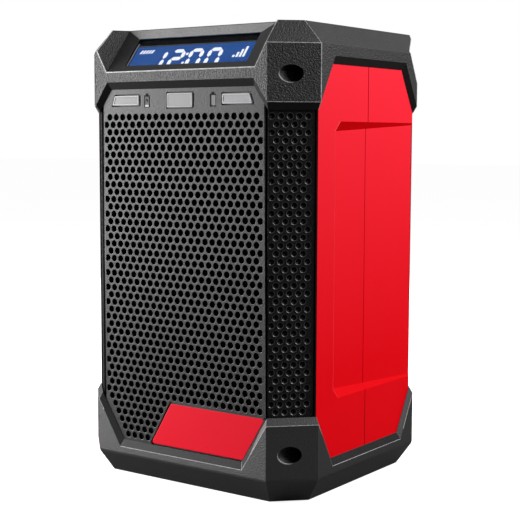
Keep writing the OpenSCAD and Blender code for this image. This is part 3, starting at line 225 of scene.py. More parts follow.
def makeDustFilm():
    # dust settles where the face looks up and thins out with a fine noise
    tree, given, out = newGroup(
        "dustFilm",
        [("Vector", "Vector", None), ("Up", "Float", 0.0), ("Amount", "Float", 0.2)],
        [("Mask", "Float")])
    specks = put(tree, "ShaderNodeTexNoise", {"Vector": given["Vector"], "Scale": 0.6, "Detail": 5.0,
                                              "Roughness": 0.8})
    lie = put(tree, "ShaderNodeMapRange", {0: given["Up"], "From Min": 0.2, "From Max": 1.0})
    tree.links.new(mathNode(tree, "MULTIPLY", mathNode(tree, "MULTIPLY", specks.outputs["Fac"], lie.outputs[0]),
                            given["Amount"]), out["Mask"])
    return tree


def makeBrushed():
    # drawn or brushed metal: noise stretched along one axis
    tree, given, out = newGroup(
        "brushedMetal",
        [("Vector", "Vector", None), ("Stretch", "Float", 0.04)],
        [("Height", "Float"), ("Tone", "Float")])
    along = put(tree, "ShaderNodeCombineXYZ", {0: 1.0, 1: 1.0, 2: given["Stretch"]})
    squeezed = put(tree, "ShaderNodeVectorMath", {0: given["Vector"], 1: along.outputs[0]}, operation="MULTIPLY")
    lines = put(tree, "ShaderNodeTexNoise", {"Vector": squeezed.outputs[0], "Scale": 9.0, "Detail": 4.0})
    tree.links.new(lines.outputs["Fac"], out["Height"])
    tree.links.new(lines.outputs["Fac"], out["Tone"])
    return tree


def makeWeave():
    # plain weave: two sets of threads, each a row of round ridges, over and under in turn
    tree, given, out = newGroup(
        "plainWeave",
        [("Vector", "Vector", None), ("Pitch", "Float", 0.8)],
        [("Height", "Float"), ("Tone", "Float")])
    apart = put(tree, "ShaderNodeSeparateXYZ", {0: given["Vector"]})
    turn = mathNode(tree, "DIVIDE", math.pi, given["Pitch"])
    across = mathNode(tree, "SINE", mathNode(tree, "MULTIPLY", apart.outputs[0], turn))
    upward = mathNode(tree, "SINE", mathNode(tree, "MULTIPLY", apart.outputs[2], turn))
    over = mathNode(tree, "MULTIPLY", across, upward)
    ridge = mathNode(tree, "MAXIMUM", mathNode(tree, "ABSOLUTE", across), mathNode(tree, "ABSOLUTE", upward))
    height = mathNode(tree, "MULTIPLY_ADD", over, 0.3, ridge)
    tree.links.new(height, out["Height"])
    tree.links.new(mathNode(tree, "MULTIPLY_ADD", over, 0.5, 0.5), out["Tone"])
    return tree


groups = {"mould": makeMouldGrain(), "handling": makeHandling(), "dust": makeDustFilm(),
          "brushed": makeBrushed(), "weave": makeWeave()}

finishes = {
    # darkest and lightest colour, lowest and highest roughness, size and depth of the grain in mm, shine;
    # then scuffs as colour and cover, dust, painted light as a paler colour towards the top, from and to which
    # height and how much, and the kind of grain where it isn't moulded plastic
    "textured_black": ((0, 0, 1), (60, 60, 61), (0.42, 0.56), 0.85, 0.6, 0.5,
                       {"scuff": ((70, 70, 71), 0.1), "dust": 0.05}),
    # painted highlight: the cap's soft edges are paler, with scuffs of wear on them
    "textured_black_edge_highlight": ((92, 92, 93), (140, 140, 141), (0.36, 0.48), 0.9, 0.05, 0.35,
                            {"scuff": ((156, 156, 158), 0.2)}),
    # painted shade for the cap's underside and the end walls of its openings
    "cap_painted_shade": ((8, 8, 8), (30, 30, 30), (0.45, 0.55), 0.8, 0.05, 0.2, {}),
    "base_black": ((2, 2, 3), (30, 30, 31), (0.48, 0.58), 0.7, 0.2, 1.0,
                   {"scuff": ((50, 50, 51), 0.1), "dust": 0.04}),
    # painted highlight on the base's soft edges
    "base_black_edge_highlight": ((52, 52, 53), (86, 86, 87), (0.36, 0.48), 0.7, 0.03, 0.35, {}),
    "base_ledge": ((4, 4, 4), (44, 44, 45), (0.5, 0.6), 0.8, 0.2, 0.2, {}),
    # painted light: a paler copy of base_black for the lit front wall
    "base_front_lit": ((5, 5, 6), (51, 51, 53), (0.48, 0.58), 0.7, 0.2, 1.0, {}),
    # pale beads of wear and painted highlight along edges and hole rims
    "wear_and_highlight_edge": ((120, 120, 121), (226, 226, 227), (0.34, 0.46), 1.6, 0.04, 0.5, {}),
    # the red shell is painted paler towards the top, as painted light from above
    "red_shell": ((238, 0, 14), (243, 0, 19), (0.42, 0.5), 0.7, 0.07, 0.06,
                  {"scuff": ((230, 3, 22), 0.12), "paintedTopLight": ((252, 47, 65), 70, 240, 0.8)}),
    # painted shade: the shells' soft edges are a darker red
    "red_shell_edge_shade": ((206, 4, 22), (226, 14, 32), (0.34, 0.42), 0.4, 0.004, 0.2, {}),
    # painted shade on the shells' downward-facing ledges
    "red_ledge_shade": ((206, 0, 6), (216, 0, 10), (0.45, 0.55), 0.7, 0.02, 0.02, {}),
    # painted highlight on the rims of the side recesses
    "red_lip_highlight": ((244, 52, 68), (252, 78, 92), (0.35, 0.45), 0.9, 0.02, 0.3, {}),
    "red_groove": ((160, 0, 8), (182, 0, 12), (0.6, 0.7), 0.8, 0.05, 0.0, {}),
    # on the red shells' inner faces and the corner panels' pockets this stands for painted shade
    "inner_black": ((14, 14, 15), (24, 24, 25), (0.6, 0.75), 0.5, 0.02, 0.15, {}),
    "grille_grey": ((8, 8, 9), (62, 62, 63), (0.4, 0.52), 0.8, 0.12, 0.36, {"scuff": ((70, 70, 71), 0.1)}),
    # painted highlight on the rims of the grille's holes and openings
    "grille_rim": ((84, 84, 85), (106, 106, 107), (0.36, 0.46), 0.6, 0.01, 0.4, {}),
    "speaker_cloth": ((6, 6, 7), (14, 14, 15), (0.85, 0.95), 0.7, 0.12, 0.1, {"kind": "weave"}),
    "panel_black": ((0, 0, 1), (42, 42, 43), (0.42, 0.55), 0.9, 0.3, 0.1,
                    {"scuff": ((40, 40, 41), 0.08), "dust": 0.03}),
    # painted highlight on the port door's soft edges
    "panel_black_edge_highlight": ((60, 60, 62), (84, 84, 86), (0.4, 0.5), 0.5, 0.02, 0.45, {}),
    # painted shade in the bowls of the dimples
    "dimple_shade_black": ((1, 1, 1), (4, 4, 4), (0.3, 0.4), 0.5, 0.01, 0.12, {}),
    # painted highlight on the rims of the dimples
    "dimple_rim_highlight": ((46, 46, 47), (62, 62, 63), (0.3, 0.36), 0.5, 0.001, 1.0, {}),
    "rear_black": ((14, 14, 15), (58, 58, 59), (0.42, 0.54), 0.8, 0.14, 0.4,
                   {"scuff": ((52, 52, 53), 0.1), "dust": 0.04}),
    # painted highlight on the rear parts' soft edges
    "rear_black_edge_highlight": ((76, 76, 78), (112, 112, 114), (0.36, 0.46), 0.6, 0.02, 0.45, {}),
    "plate_red": ((230, 18, 41), (238, 23, 47), (0.38, 0.46), 0.35, 0.004, 0.12,
                  {"scuff": ((232, 18, 44), 0.2)}),
    # painted shade: a dark red outline on the name plate's edge, for the shadow of the gap round it
    "plate_red_edge_shade": ((120, 6, 18), (150, 12, 28), (0.4, 0.5), 0.4, 0.004, 0.15, {}),
    # painted highlight on the bevels of the badge and the windows
    "badge_edge_highlight": ((176, 176, 178), (196, 196, 198), (0.3, 0.4), 0.3, 0.004, 0.4, {}),
    "badge_grey": ((122, 122, 124), (142, 142, 144), (0.34, 0.44), 0.3, 0.006, 0.45,
                   {"scuff": ((138, 138, 140), 0.3)}),
    "window_grey": ((126, 126, 128), (152, 152, 154), (0.26, 0.36), 0.5, 0.004, 0.3,
                    {"scuff": ((122, 122, 125), 0.35)}),
    "circuit_board": ((10, 70, 38), (18, 92, 50), (0.3, 0.4), 1.2, 0.02, 0.5, {}),
    "bezel_black": ((34, 34, 35), (72, 72, 73), (0.3, 0.42), 0.5, 0.02, 0.1, {"scuff": ((34, 34, 35), 0.15)}),
    # painted highlight on the bezel's soft edges
    "bezel_black_edge_highlight": ((50, 50, 51), (70, 70, 71), (0.3, 0.4), 0.4, 0.006, 0.5, {}),
    "white_plastic": ((214, 214, 210), (228, 228, 224), (0.4, 0.5), 0.5, 0.01, 0.4,
                      {"scuff": ((198, 198, 192), 0.2)}),
    "mat_rubber": ((86, 86, 88), (102, 102, 104), (0.6, 0.75), 0.4, 0.02, 0.3, {}),
    "key_grey": ((60, 60, 63), (78, 78, 81), (0.55, 0.7), 0.3, 0.015, 0.3,
                 {"scuff": ((92, 92, 96), 0.25), "dust": 0.08}),
    "basket_black": ((34, 34, 35), (46, 46, 47), (0.35, 0.5), 0.3, 0.01, 0.5, {}),
    "gasket_foam": ((20, 20, 21), (34, 34, 35), (0.85, 0.95), 0.35, 0.09, 0.1, {}),
    "surround_rubber": ((30, 30, 31), (40, 40, 41), (0.45, 0.6), 0.4, 0.01, 0.4, {}),
    "cone_paper": ((36, 36, 38), (56, 56, 58), (0.8, 0.9), 0.9, 0.08, 0.15, {}),
    "magnet_ferrite": ((62, 62, 64), (80, 80, 82), (0.6, 0.75), 0.5, 0.04, 0.3, {}),
    "dock_black": ((28, 28, 30), (42, 42, 44), (0.45, 0.55), 0.5, 0.02, 0.35, {"scuff": ((60, 60, 62), 0.2)}),
    "battery_black": ((26, 26, 28), (60, 60, 62), (0.4, 0.52), 0.6, 0.06, 0.5, {"scuff": ((76, 76, 78), 0.15)}),
    # painted highlight on the battery pack's soft edges
    "battery_black_edge_highlight": ((70, 70, 72), (96, 96, 98), (0.4, 0.5), 0.5, 0.02, 0.45, {}),
    "latch_red": ((190, 14, 28), (208, 22, 36), (0.38, 0.5), 0.4, 0.02, 0.4, {"scuff": ((168, 10, 24), 0.25)}),
    "door_black": ((32, 32, 34), (50, 50, 52), (0.6, 0.75), 0.4, 0.03, 0.25,
                   {"scuff": ((70, 70, 72), 0.15), "dust": 0.05}),
    "jack_black": ((22, 22, 23), (32, 32, 33), (0.35, 0.45), 0.4, 0.008, 0.45, {}),
    "foot_rubber": ((24, 24, 25), (40, 40, 41), (0.75, 0.9), 0.5, 0.05, 0.2, {}),
    "copper_coil": ((150, 78, 38), (206, 122, 66), (0.25, 0.4), 0.3, 0.02, 0.5, {"kind": "brushed"}),
    "contact_metal": ((196, 160, 92), (226, 194, 122), (0.2, 0.35), 0.3, 0.01, 0.5, {"kind": "brushed"}),
    "sink_aluminium": ((168, 168, 172), (206, 206, 210), (0.3, 0.45), 0.3, 0.02, 0.5, {"kind": "brushed"}),
    "pin_steel": ((150, 150, 154), (190, 190, 194), (0.2, 0.35), 0.3, 0.01, 0.5, {"kind": "brushed"}),
    "connector_steel": ((160, 160, 164), (204, 204, 208), (0.22, 0.36), 0.3, 0.01, 0.5, {"kind": "brushed"}),
    "screw_steel": ((96, 96, 100), (150, 150, 154), (0.25, 0.42), 0.3, 0.01, 0.5, {"kind": "brushed"}),
    "icon_mid": ((96, 96, 97), (128, 128, 129), (0.4, 0.5), 0.4, 0.004, 0.3, {}),
    "lcd_mask": ((3, 3, 4), (8, 8, 9), (0.6, 0.7), 0.5, 0.002, 0.02, {}),
    "lcd_line": ((52, 50, 50), (66, 64, 64), (0.4, 0.5), 0.4, 0.002, 0.3, {}),
    # painted highlight on the left edge of the display's frame
    "lcd_edge_highlight": ((120, 120, 122), (168, 168, 170), (0.4, 0.5), 0.6, 0.01, 0.3, {}),
    "window_pale": ((150, 150, 152), (178, 178, 180), (0.26, 0.36), 0.5, 0.004, 0.3, {}),
    # painted shade: black for hole walls and sockets that lie in shadow
    "painted_shade_black": ((2, 2, 2), (6, 6, 6), (0.6, 0.7), 0.5, 0.01, 0.05, {}),
    # painted reflection on the bezel's brow
    "bezel_brow_reflection": ((104, 104, 104), (160, 160, 160), (0.3, 0.4), 0.8, 0.03, 0.5, {}),
    "icon_dark": ((3, 3, 3), (8, 8, 8), (0.5, 0.6), 0.4, 0.004, 0.05, {}),
    "icon_light": ((178, 178, 178), (196, 196, 196), (0.4, 0.5), 0.4, 0.004, 0.3, {}),
}
glows = {
    # darkest and lightest colour, strength, size of the drift in mm
    "lcd_blue": ((6, 66, 142), (26, 86, 158), 0.9, 6.0),
    "lcd_white": ((236, 244, 255), (255, 255, 255), 1.0, 3.0),
}
dustColour = (190, 186, 180)


def newMaterial(name):
    # an empty material, its nodes and the place on the piece in mm
    material = bpy.data.materials.new(name)
    tree = emptyTree(material)
    place = put(tree, "ShaderNodeTexCoord").outputs["Object"]
    inMm = put(tree, "ShaderNodeMapping", {"Vector": place, "Scale": (1000, 1000, 1000)})
    return material, tree, inMm.outputs[0]


def useGroup(tree, name, **ins):
    return put(tree, "ShaderNodeGroup", ins, node_tree=groups[name]).outputs


def mixed(tree, share, first, second):
    # two colours, each a socket or red, green and blue from 0 to 255
    first, second = (colour if isinstance(colour, bpy.types.NodeSocket) else paint(*colour)
                     for colour in (first, second))
    return put(tree, "ShaderNodeMix", {0: share, 6: first, 7: second}, data_type="RGBA").outputs[2]


def makeFinish(name, dark, light, rough, grain, depth, level, scuff=None, dust=0.0, paintedTopLight=None, kind="mould"):
    # colour and roughness follow the grain's tone; painted light towards the top, scuffs and dust are laid over
    # the colour in turn
    material, tree, where = newMaterial(name)
    size = {"mould": {"Cell": grain}, "weave": {"Pitch": grain}}.get(kind, {})
    pattern = useGroup(tree, kind, Vector=where, **size)
    colour = mixed(tree, pattern["Tone"], dark, light)
    # painted light: the colour turns paler with height
    if paintedTopLight:
        tint, low, high, most = paintedTopLight
        height = put(tree, "ShaderNodeSeparateXYZ", {0: where}).outputs[2]
        taken = put(tree, "ShaderNodeMapRange", {0: height, "From Min": low, "From Max": high, "To Max": most})
        colour = mixed(tree, taken.outputs[0], colour, tint)
    if scuff:
        worn = useGroup(tree, "handling", Vector=where, Cover=scuff[1])
        colour = mixed(tree, worn["Mask"], colour, scuff[0])
    if dust:
        facing = put(tree, "ShaderNodeSeparateXYZ", {0: put(tree, "ShaderNodeNewGeometry").outputs["Normal"]})
        film = useGroup(tree, "dust", Vector=where, Up=facing.outputs[2], Amount=dust)
        colour = mixed(tree, film["Mask"], colour, dustColour)
    spread = put(tree, "ShaderNodeMapRange", {0: pattern["Tone"], "To Min": rough[0], "To Max": rough[1]})
    bump = put(tree, "ShaderNodeBump", {"Strength": 1.0, "Distance": depth * 0.001, "Height": pattern["Height"]})
    shader = put(tree, "ShaderNodeBsdfPrincipled", {
        "Base Color": colour, "Roughness": spread.outputs[0], "Metallic": float(kind == "brushed"),
        "Specular IOR Level": level, "Normal": bump.outputs[0]})
    put(tree, "ShaderNodeOutputMaterial", {"Surface": shader.outputs[0]})
    return material


def makeGlow(name, dark, light, strength, cell):
    # a lit part of the display: its colour drifts a little
    material, tree, where = newMaterial(name)
    pattern = useGroup(tree, "mould", Vector=where, Cell=cell, Drift=0.8)
    shader = put(tree, "ShaderNodeBsdfPrincipled", {
        "Base Color": (0.01, 0.01, 0.012, 1), "Roughness": 0.5, "Specular IOR Level": 0.04,
        "Emission Color": mixed(tree, pattern["Tone"], dark, light), "Emission Strength": strength})
    put(tree, "ShaderNodeOutputMaterial", {"Surface": shader.outputs[0]})
    return material


def makeLens():
    # the clear window, with a faint film of smudges on its roughness
    material, tree, where = newMaterial("clear_lens")
    worn = useGroup(tree, "handling", Vector=where, Size=12.0)
    spread = put(tree, "ShaderNodeMapRange", {0: worn["Mask"], "To Min": 0.0, "To Max": 0.03})
    shader = put(tree, "ShaderNodeBsdfPrincipled", {
        "Base Color": (0.96, 0.97, 1.0, 1), "Roughness": spread.outputs[0], "IOR": 1.06,
        "Transmission Weight": 1.0, "Specular IOR Level": 0.02})
    put(tree, "ShaderNodeOutputMaterial", {"Surface": shader.outputs[0]})
    return material


finish = {name: makeFinish(name, *plain, **more) for name, (*plain, more) in finishes.items()}
finish.update({name: makeGlow(name, *settings) for name, settings in glows.items()})
finish["clear_lens"] = makeLens()

for name, node in nodes.items():
    for place in node.material_slots:
        place.material = finish[slotOf[name]]
print("finishes are mixed:", len(finish))


# --- mesh helpers; lengths in mm until the mesh is made

def meshPiece(name, points, faces, looks, node=None, body=None, smooth=False, lookOf=None):
    mesh = bpy.data.meshes.new(name)
    mesh.from_pydata((np.asarray(points, float) * 0.001).tolist(), [], [list(map(int, face)) for face in faces])
    for look in looks:
        mesh.materials.append(finish[look])
    if lookOf is not None:
        mesh.polygons.foreach_set("material_index", np.asarray(lookOf, np.int32))
    smoothed = np.broadcast_to(np.asarray(smooth, bool), len(mesh.polygons))
    mesh.polygons.foreach_set("use_smooth", np.ascontiguousarray(smoothed))
    mesh.update()
    piece = bpy.data.objects.new(name, mesh)
    scene.collection.objects.link(piece)
    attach(piece, body or (bodyOf[node] if node else "housing"))
    if node:
        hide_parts(node)
    return piece


def weld(mesh, reach=None):
    # merges points that meet within the reach, so the shell is closed, and turns all faces outwards
    work = bmesh.new()
    work.from_mesh(mesh)
    if reach:
        bmesh.ops.remove_doubles(work, verts=work.verts, dist=reach * 0.001)
    bmesh.ops.recalc_face_normals(work, faces=work.faces)
    work.to_mesh(mesh)
    work.free()
    mesh.update()


def stripFaces(rows, columns, closed=True, flip=False):
    # quads of a grid of rows of points; closed joins the last column to the first
    row, column = np.meshgrid(np.arange(rows - 1), np.arange(columns if closed else columns - 1), indexing="ij")
    after = (column + 1) % columns
    quads = np.stack([row * columns + column, row * columns + after,
                      (row + 1) * columns + after, (row + 1) * columns + column], -1).reshape(-1, 4)
    return quads[:, ::-1] if flip else quads


def rectangle(x0, x1, y0, y1):
    return np.array([[x0, y0], [x1, y0], [x1, y1], [x0, y1]], float)


def circleOf(sides, shift=0.0):
    # round points at radius 1, turned by a share of one side
    turn = (np.arange(sides) + shift) * 2 * math.pi / sides
    return np.column_stack([np.cos(turn), np.sin(turn)])


def quarterRound(radius, steps):
    # a quarter of a circle from its top to its side: how far out and how deep
    turn = np.linspace(0, math.pi / 2, steps)
    return radius * np.sin(turn), radius * (1 - np.cos(turn))


def roundedPath(corners, radius, steps=5):
    # a polygon whose corners are arcs: each arc is worked out from its two sides' directions
    corners = np.asarray(corners, float)
    before = corners - np.roll(corners, 1, 0)
    after = np.roll(corners, -1, 0) - corners
    before /= np.linalg.norm(before, axis=1)[:, None]
    after /= np.linalg.norm(after, axis=1)[:, None]
    turn = np.arctan2(before[:, 0] * after[:, 1] - before[:, 1] * after[:, 0], (before * after).sum(1))
    setback = radius * np.tan(np.abs(turn) / 2)
    start = corners - before * setback[:, None]
    side = np.stack([-before[:, 1], before[:, 0]], 1) * np.sign(turn)[:, None]
    middle = start + side * radius
    angle = turn[:, None] * np.linspace(0, 1, steps + 1)
    spoke = -side[:, None, :]
    cos, sin = np.cos(angle)[..., None], np.sin(angle)[..., None]
    across = np.stack([-spoke[..., 1], spoke[..., 0]], -1)
    return (middle[:, None, :] + radius * (spoke * cos + across * sin)).reshape(-1, 2)


def insetPath(path, inset):
    # each point moves inwards along the mitre of its two sides; path runs anticlockwise
    before = path - np.roll(path, 1, 0)
    after = np.roll(path, -1, 0) - path
    sides = [np.stack([-d[:, 1], d[:, 0]], 1) / np.maximum(np.linalg.norm(d, axis=1), 1e-9)[:, None]
             for d in (before, after)]
    total = sides[0] + sides[1]
    return path + inset * 2 * total / np.maximum((total ** 2).sum(1), 1e-9)[:, None]


def placed(points, plane):
    # across, up and out on a plane, which is given by its origin and its three directions
    origin, across, up, out = (np.asarray(part, float) for part in plane)
    return origin + points[:, :1] * across + points[:, 1:2] * up + points[:, 2:] * out


def slab(corners, radius, profile, plane, steps=5, crown=0.0, smallest=0.04):
    # a closed slab: the rounded outline, inset and raised by each step of the profile, bottom first, with a fan
    # below and on top; the corner arcs shrink with the inset, so no ring crosses itself
    corners = np.asarray(corners, float)

    def ring(inset):
        moved = insetPath(corners, inset)
        return roundedPath(moved, max(radius - inset, smallest), steps) if radius else moved

    rings = np.concatenate([np.column_stack([ring(inset), np.full(len(ring(inset)), height)])
                            for inset, height in profile])
    count = len(ring(0))
    middle = ring(0).mean(0)
    points = np.vstack([rings, np.append(middle, profile[-1][1] + crown), np.append(middle, profile[0][1])])
    around = np.arange(count)
    top = around + (len(profile) - 1) * count
    faces = stripFaces(len(profile), count).tolist()
    faces += np.column_stack([top, np.roll(top, -1), np.full(count, len(points) - 2)]).tolist()
    faces += np.column_stack([np.roll(around, -1), around, np.full(count, len(points) - 1)]).tolist()
    return placed(points, plane), faces


def fillPath(path, plane, low, high):
    # a thin plate with straight walls over any simple outline, triangulated
    made = geometry.tessellate_polygon([[Vector((x, y, 0)) for x, y in path]])
    count = len(path)
    points = np.vstack([np.column_stack([path, np.full(count, height)]) for height in (low, high)])
    faces = [[i + count for i in tri] for tri in made] + [list(tri)[::-1] for tri in made]
    return placed(points, plane), faces + stripFaces(2, count).tolist()


def joined(*parts):
    # several (points, faces) as one
    points, faces, count = [], [], 0
    for some, theirs in parts:
        points.append(some)
        faces += [[index + count for index in face] for face in theirs]
        count += len(some)
    return np.vstack(points), faces


class Blocks:
    # blocks of points and faces that make one mesh; a face is smooth or flat and has a look
    meet = 0.002  # points closer than this are merged

    def __init__(self):
        self.points, self.faces, self.smooth, self.looks = [], [], [], []

    def add(self, points, faces, smooth=False, looks=0):
        start = sum(map(len, self.points))
        self.points.append(points)
        self.faces += (np.asarray(faces) + start).tolist()
        self.smooth += [smooth] * len(faces)
        self.looks += np.broadcast_to(looks, len(faces)).tolist()

    def piece(self, name, looks, node, shaped=None):
        # shaped takes the points from their own plane to the body
        points = np.vstack(self.points)
        made = meshPiece(name, shaped(points) if shaped else points, self.faces, looks, node,
                         smooth=self.smooth, lookOf=self.looks)
        weld(made.data, self.meet)


# --- soft copies of the solids, their wear and painted edge highlights

body = {"halfWidth": 82.5, "halfDepth": 74.0, "cornerSum": 135.7, "tall": 265.0, "outside": 0.985, "play": 0.03}
bead = {"sides": 6, "proud": 0.05, "shortest": 1.5, "flattest": 0.97}
soften = {"merge": 0.005, "flat": 0.6, "shade": 22, "sharp": 28, "bendSteps": 5}


def outlineShare(x, y):
    # how near a place is to the body's outline seen from above, 1 on it
    x, y = np.abs(x), np.abs(y)
    return np.maximum(np.maximum(x / body["halfWidth"], y / body["halfDepth"]), (x + y) / body["cornerSum"])


def beadPiece(name, spots, along, out, radius, node, look):
    # closed tubes through rows of spots on edges, square to the way along; the middle lies so far below the edge
    # that the tube stands a little proud of it, and all is kept within the body's box
    sides = bead["sides"]
    turn = (np.arange(sides) * 2 * math.pi / sides)[:, None]
    middle = spots - out * (radius - bead["proud"])
    ring = np.cos(turn) * out[:, :, None] + np.sin(turn) * np.cross(along, out)[:, :, None]
    rings = middle[:, :, None] + ring * np.asarray(radius)[..., None]
    count, rows = rings.shape[:2]
    reach = np.array([body["halfWidth"], body["halfDepth"], body["tall"]]) + body["play"]
    starts = (np.arange(count) * rows * sides)[:, None, None]
    ends = np.array([np.arange(sides), rows * sides - 1 - np.arange(sides)])
    faces = (stripFaces(rows, sides, flip=True)[None] + starts).reshape(-1, 4).tolist()
    faces += (ends[None] + starts).reshape(-1, sides).tolist()
    piece = meshPiece(name, np.clip(rings.reshape(-1, 3), -reach, reach), faces, [look],
                      body=bodyOf[node])
    weld(piece.data)


def wearAndHighlightLines(name, work, node, pick, radius, look="wear_and_highlight_edge"):
    # slim pale beads along picked outer edges: partly wear where handling has rubbed the plastic pale, partly
    # painted highlight
    rows = []
    for edge in work.edges:
        if len(edge.link_faces) == 2 and edge.is_convex and edge.calc_length() > bead["shortest"] * 0.001:
            start, stop = (corner.co for corner in edge.verts)
            one, two = (face.normal for face in edge.link_faces)
            if one.dot(two) < bead["flattest"] and pick((start + stop) * 500, one, two):
                rows.append((*start, *stop, *(one + two).normalized()))
    lines = np.array(rows)
    spots = lines[:, :6].reshape(-1, 2, 3) * 1000
    along = spots[:, 1:] - spots[:, :1]
    along /= np.linalg.norm(along, axis=2)[..., None]
    beadPiece(name, spots, along, lines[:, None, 6:], radius, node, look)


def readAll(items, what, width=3, kind=np.float32):
    # one property of all the items, in rows
    values = np.empty(len(items) * width, kind)
    items.foreach_get(what, values)
    return values.reshape(-1, width)


def mergedCopy(name, node):
    # the solid's loose triangles with one point where several meet
    source = nodes[node].data
    source.calc_loop_triangles()
    spots = readAll(source.vertices, "co")
    corners = readAll(source.loop_triangles, "vertices", kind=np.int32)
    cells = np.round(spots * (1000 / soften["merge"])).astype(np.int64)
    _, first, inverse = np.unique(cells, axis=0, return_index=True, return_inverse=True)
    triangles = inverse.reshape(-1)[corners]
    kept = (triangles != np.roll(triangles, 1, 1)).all(1)
    mesh = bpy.data.meshes.new(name)
    mesh.from_pydata(spots[first].tolist(), [], triangles[kept].tolist())
    return mesh


def addBevel(piece, name, width, segments, **settings):
    bevel = piece.modifiers.new(name, "BEVEL")
    settings.update(width=width * 0.001, segments=segments, use_clamp_overlap=True, harden_normals=True)
    for key, value in settings.items():
        setattr(bevel, key, value)


def softened(name, node, width, looks, segments=2, lookOf=None, bend=None, worn=None):
    # a copy of a solid with soft edges of the given width, which take the second look; lookOf picks a look for
    # each face, and bend gives the heights between which the outer level edges are rounded more widely
    # worn lays pale beads of wear and painted highlight along picked edges; the second look is a painted highlight
    # on the soft edges, painted shade on the red shells
    mesh = mergedCopy(name, node)
    work = bmesh.new()
    work.from_mesh(mesh)
    bmesh.ops.dissolve_limit(work, angle_limit=math.radians(soften["flat"]), verts=work.verts, edges=work.edges)
    work.to_mesh(mesh)
    if worn:
        work.normal_update()
        wearAndHighlightLines(name + "WearHighlight", work, node, *worn)
    work.free()
    for look in looks:
        mesh.materials.append(finish[look])
    mesh.polygons.foreach_set("use_smooth", np.ones(len(mesh.polygons), bool))
    mesh.set_sharp_from_angle(angle=math.radians(soften["shade"]))
    if lookOf:
        chosen = lookOf(readAll(mesh.polygons, "center") * 1000, readAll(mesh.polygons, "normal"))
        mesh.polygons.foreach_set("material_index", chosen.astype(np.int32))
    mesh.update()
    piece = bpy.data.objects.new(name, mesh)
    scene.collection.objects.link(piece)
    if bend:
        both = readAll(mesh.vertices, "co")[readAll(mesh.edges, "vertices", 2, np.int32)] * 1000
        level = (both[..., 2] > bend["low"]) & (both[..., 2] < bend["high"])
        level &= outlineShare(both[..., 0], both[..., 1]) > body["outside"]
        weight = mesh.attributes.new("bevel_weight_edge", "FLOAT", "EDGE")
        weight.data.foreach_set("value", level.all(1).astype(np.float32))
        addBevel(piece, "wideBend", bend["width"], soften["bendSteps"], limit_method="WEIGHT")
    addBevel(piece, "softEdges", width, segments, limit_method="ANGLE",
             angle_limit=math.radians(soften["sharp"]), material=1 if len(looks) > 1 else -1)
    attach(piece, bodyOf[node])
    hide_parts(node)
    return piece


# --- shells

base = {
    "soft": 0.45, "bend": {"low": 13.0, "high": 15.0, "width": 1.4}, "wearHighlight": 0.3, "wearHighlightLow": 16,
    "ledgeUp": 0.3, "ledgeSum": 126, "frontWay": -0.95,
}


def isBaseLip(spot, one, two):
    # where an outer wall meets the ledges of the openings
    ledge, wall = (one, two) if one.z > two.z else (two, one)
    outside = outlineShare(spot.x, spot.y) > body["outside"]
    return spot.z > base["wearHighlightLow"] and outside and ledge.z > base["ledgeUp"] and abs(wall.z) < 0.1


def baseLook(middles, facings):
    # the ledges along the openings are rougher and don't shine; the front wall is paler, as painted light
    ledge = (facings[:, 2] >= base["ledgeUp"]) & (np.abs(middles[:, :2]).sum(1) <= base["ledgeSum"])
    return np.where(ledge, 2, np.where(facings[:, 1] < base["frontWay"], 3, 0))


softened("baseBumper", "base_bumper", base["soft"], ["base_black", "base_black_edge_highlight", "base_ledge", "base_front_lit"],
         lookOf=baseLook, bend=base["bend"], worn=(isBaseLip, base["wearHighlight"]))

cap = {
    "soft": 0.45, "wearHighlight": 0.34, "wearHighlightLow": 218, "topLow": 252.5, "topShare": 0.86,
    "underWay": -0.3, "underHigh": 246, "endX": 76, "endHigh": 250, "notchLow": 236, "notchFront": -40,
    "notchWallX": 0.743, "notchFloorY": -0.769, "near": 0.06,  # the wall's normal in x and the floor's in y
}


def capLook(middles, facings):
    # painted shade: the walls of the openings and the hidden underside take a darker, smoother look than the
    # grained outside
    under = (facings[:, 2] < cap["underWay"]) & (middles[:, 2] < cap["underHigh"])
    ends = (np.abs(middles[:, 0]) > cap["endX"]) & (np.abs(facings[:, 1]) > 0.5) & (middles[:, 2] < cap["endHigh"])
    return np.where(under | ends, 2, 0)


def isCapWearAndHighlight(spot, one, two):
    # the corners' level and upright edges and the rim of the display's notch
    def isCorner(normal):
        return abs(abs(normal.x) - abs(normal.y)) < 0.12 and abs(normal.x) > 0.3

    def isNotch(normal):
        wall = abs(abs(normal.x) - cap["notchWallX"]) < cap["near"] and normal.y < -0.4 and normal.z > 0.35
        floor = abs(normal.x) < 0.05 and abs(normal.y - cap["notchFloorY"]) < 0.05 and normal.z > 0.5
        return wall or floor

    if outlineShare(spot.x, spot.y) < (body["outside"] if spot.z < cap["topLow"] else cap["topShare"]):
        return False
    if isNotch(one) != isNotch(two):
        return spot.y < cap["notchFront"] and spot.z > cap["notchLow"]
    corner = isCorner(one) and isCorner(two)
    upright = isCorner(one) != isCorner(two) and abs((one if isCorner(two) else two).x) > 0.6
    return spot.z > cap["wearHighlightLow"] and (corner or upright)


softened("topCap", "top_cap", cap["soft"], ["textured_black", "textured_black_edge_highlight", "cap_painted_shade"],
         lookOf=capLook, worn=(isCapWearAndHighlight, cap["wearHighlight"]))

holeRim = {"x": 71, "low": 28.8, "high": 236.1, "round": 4.75, "start": 158, "stop": 285, "steps": 24,
           "thick": 0.4, "ends": 0.1}


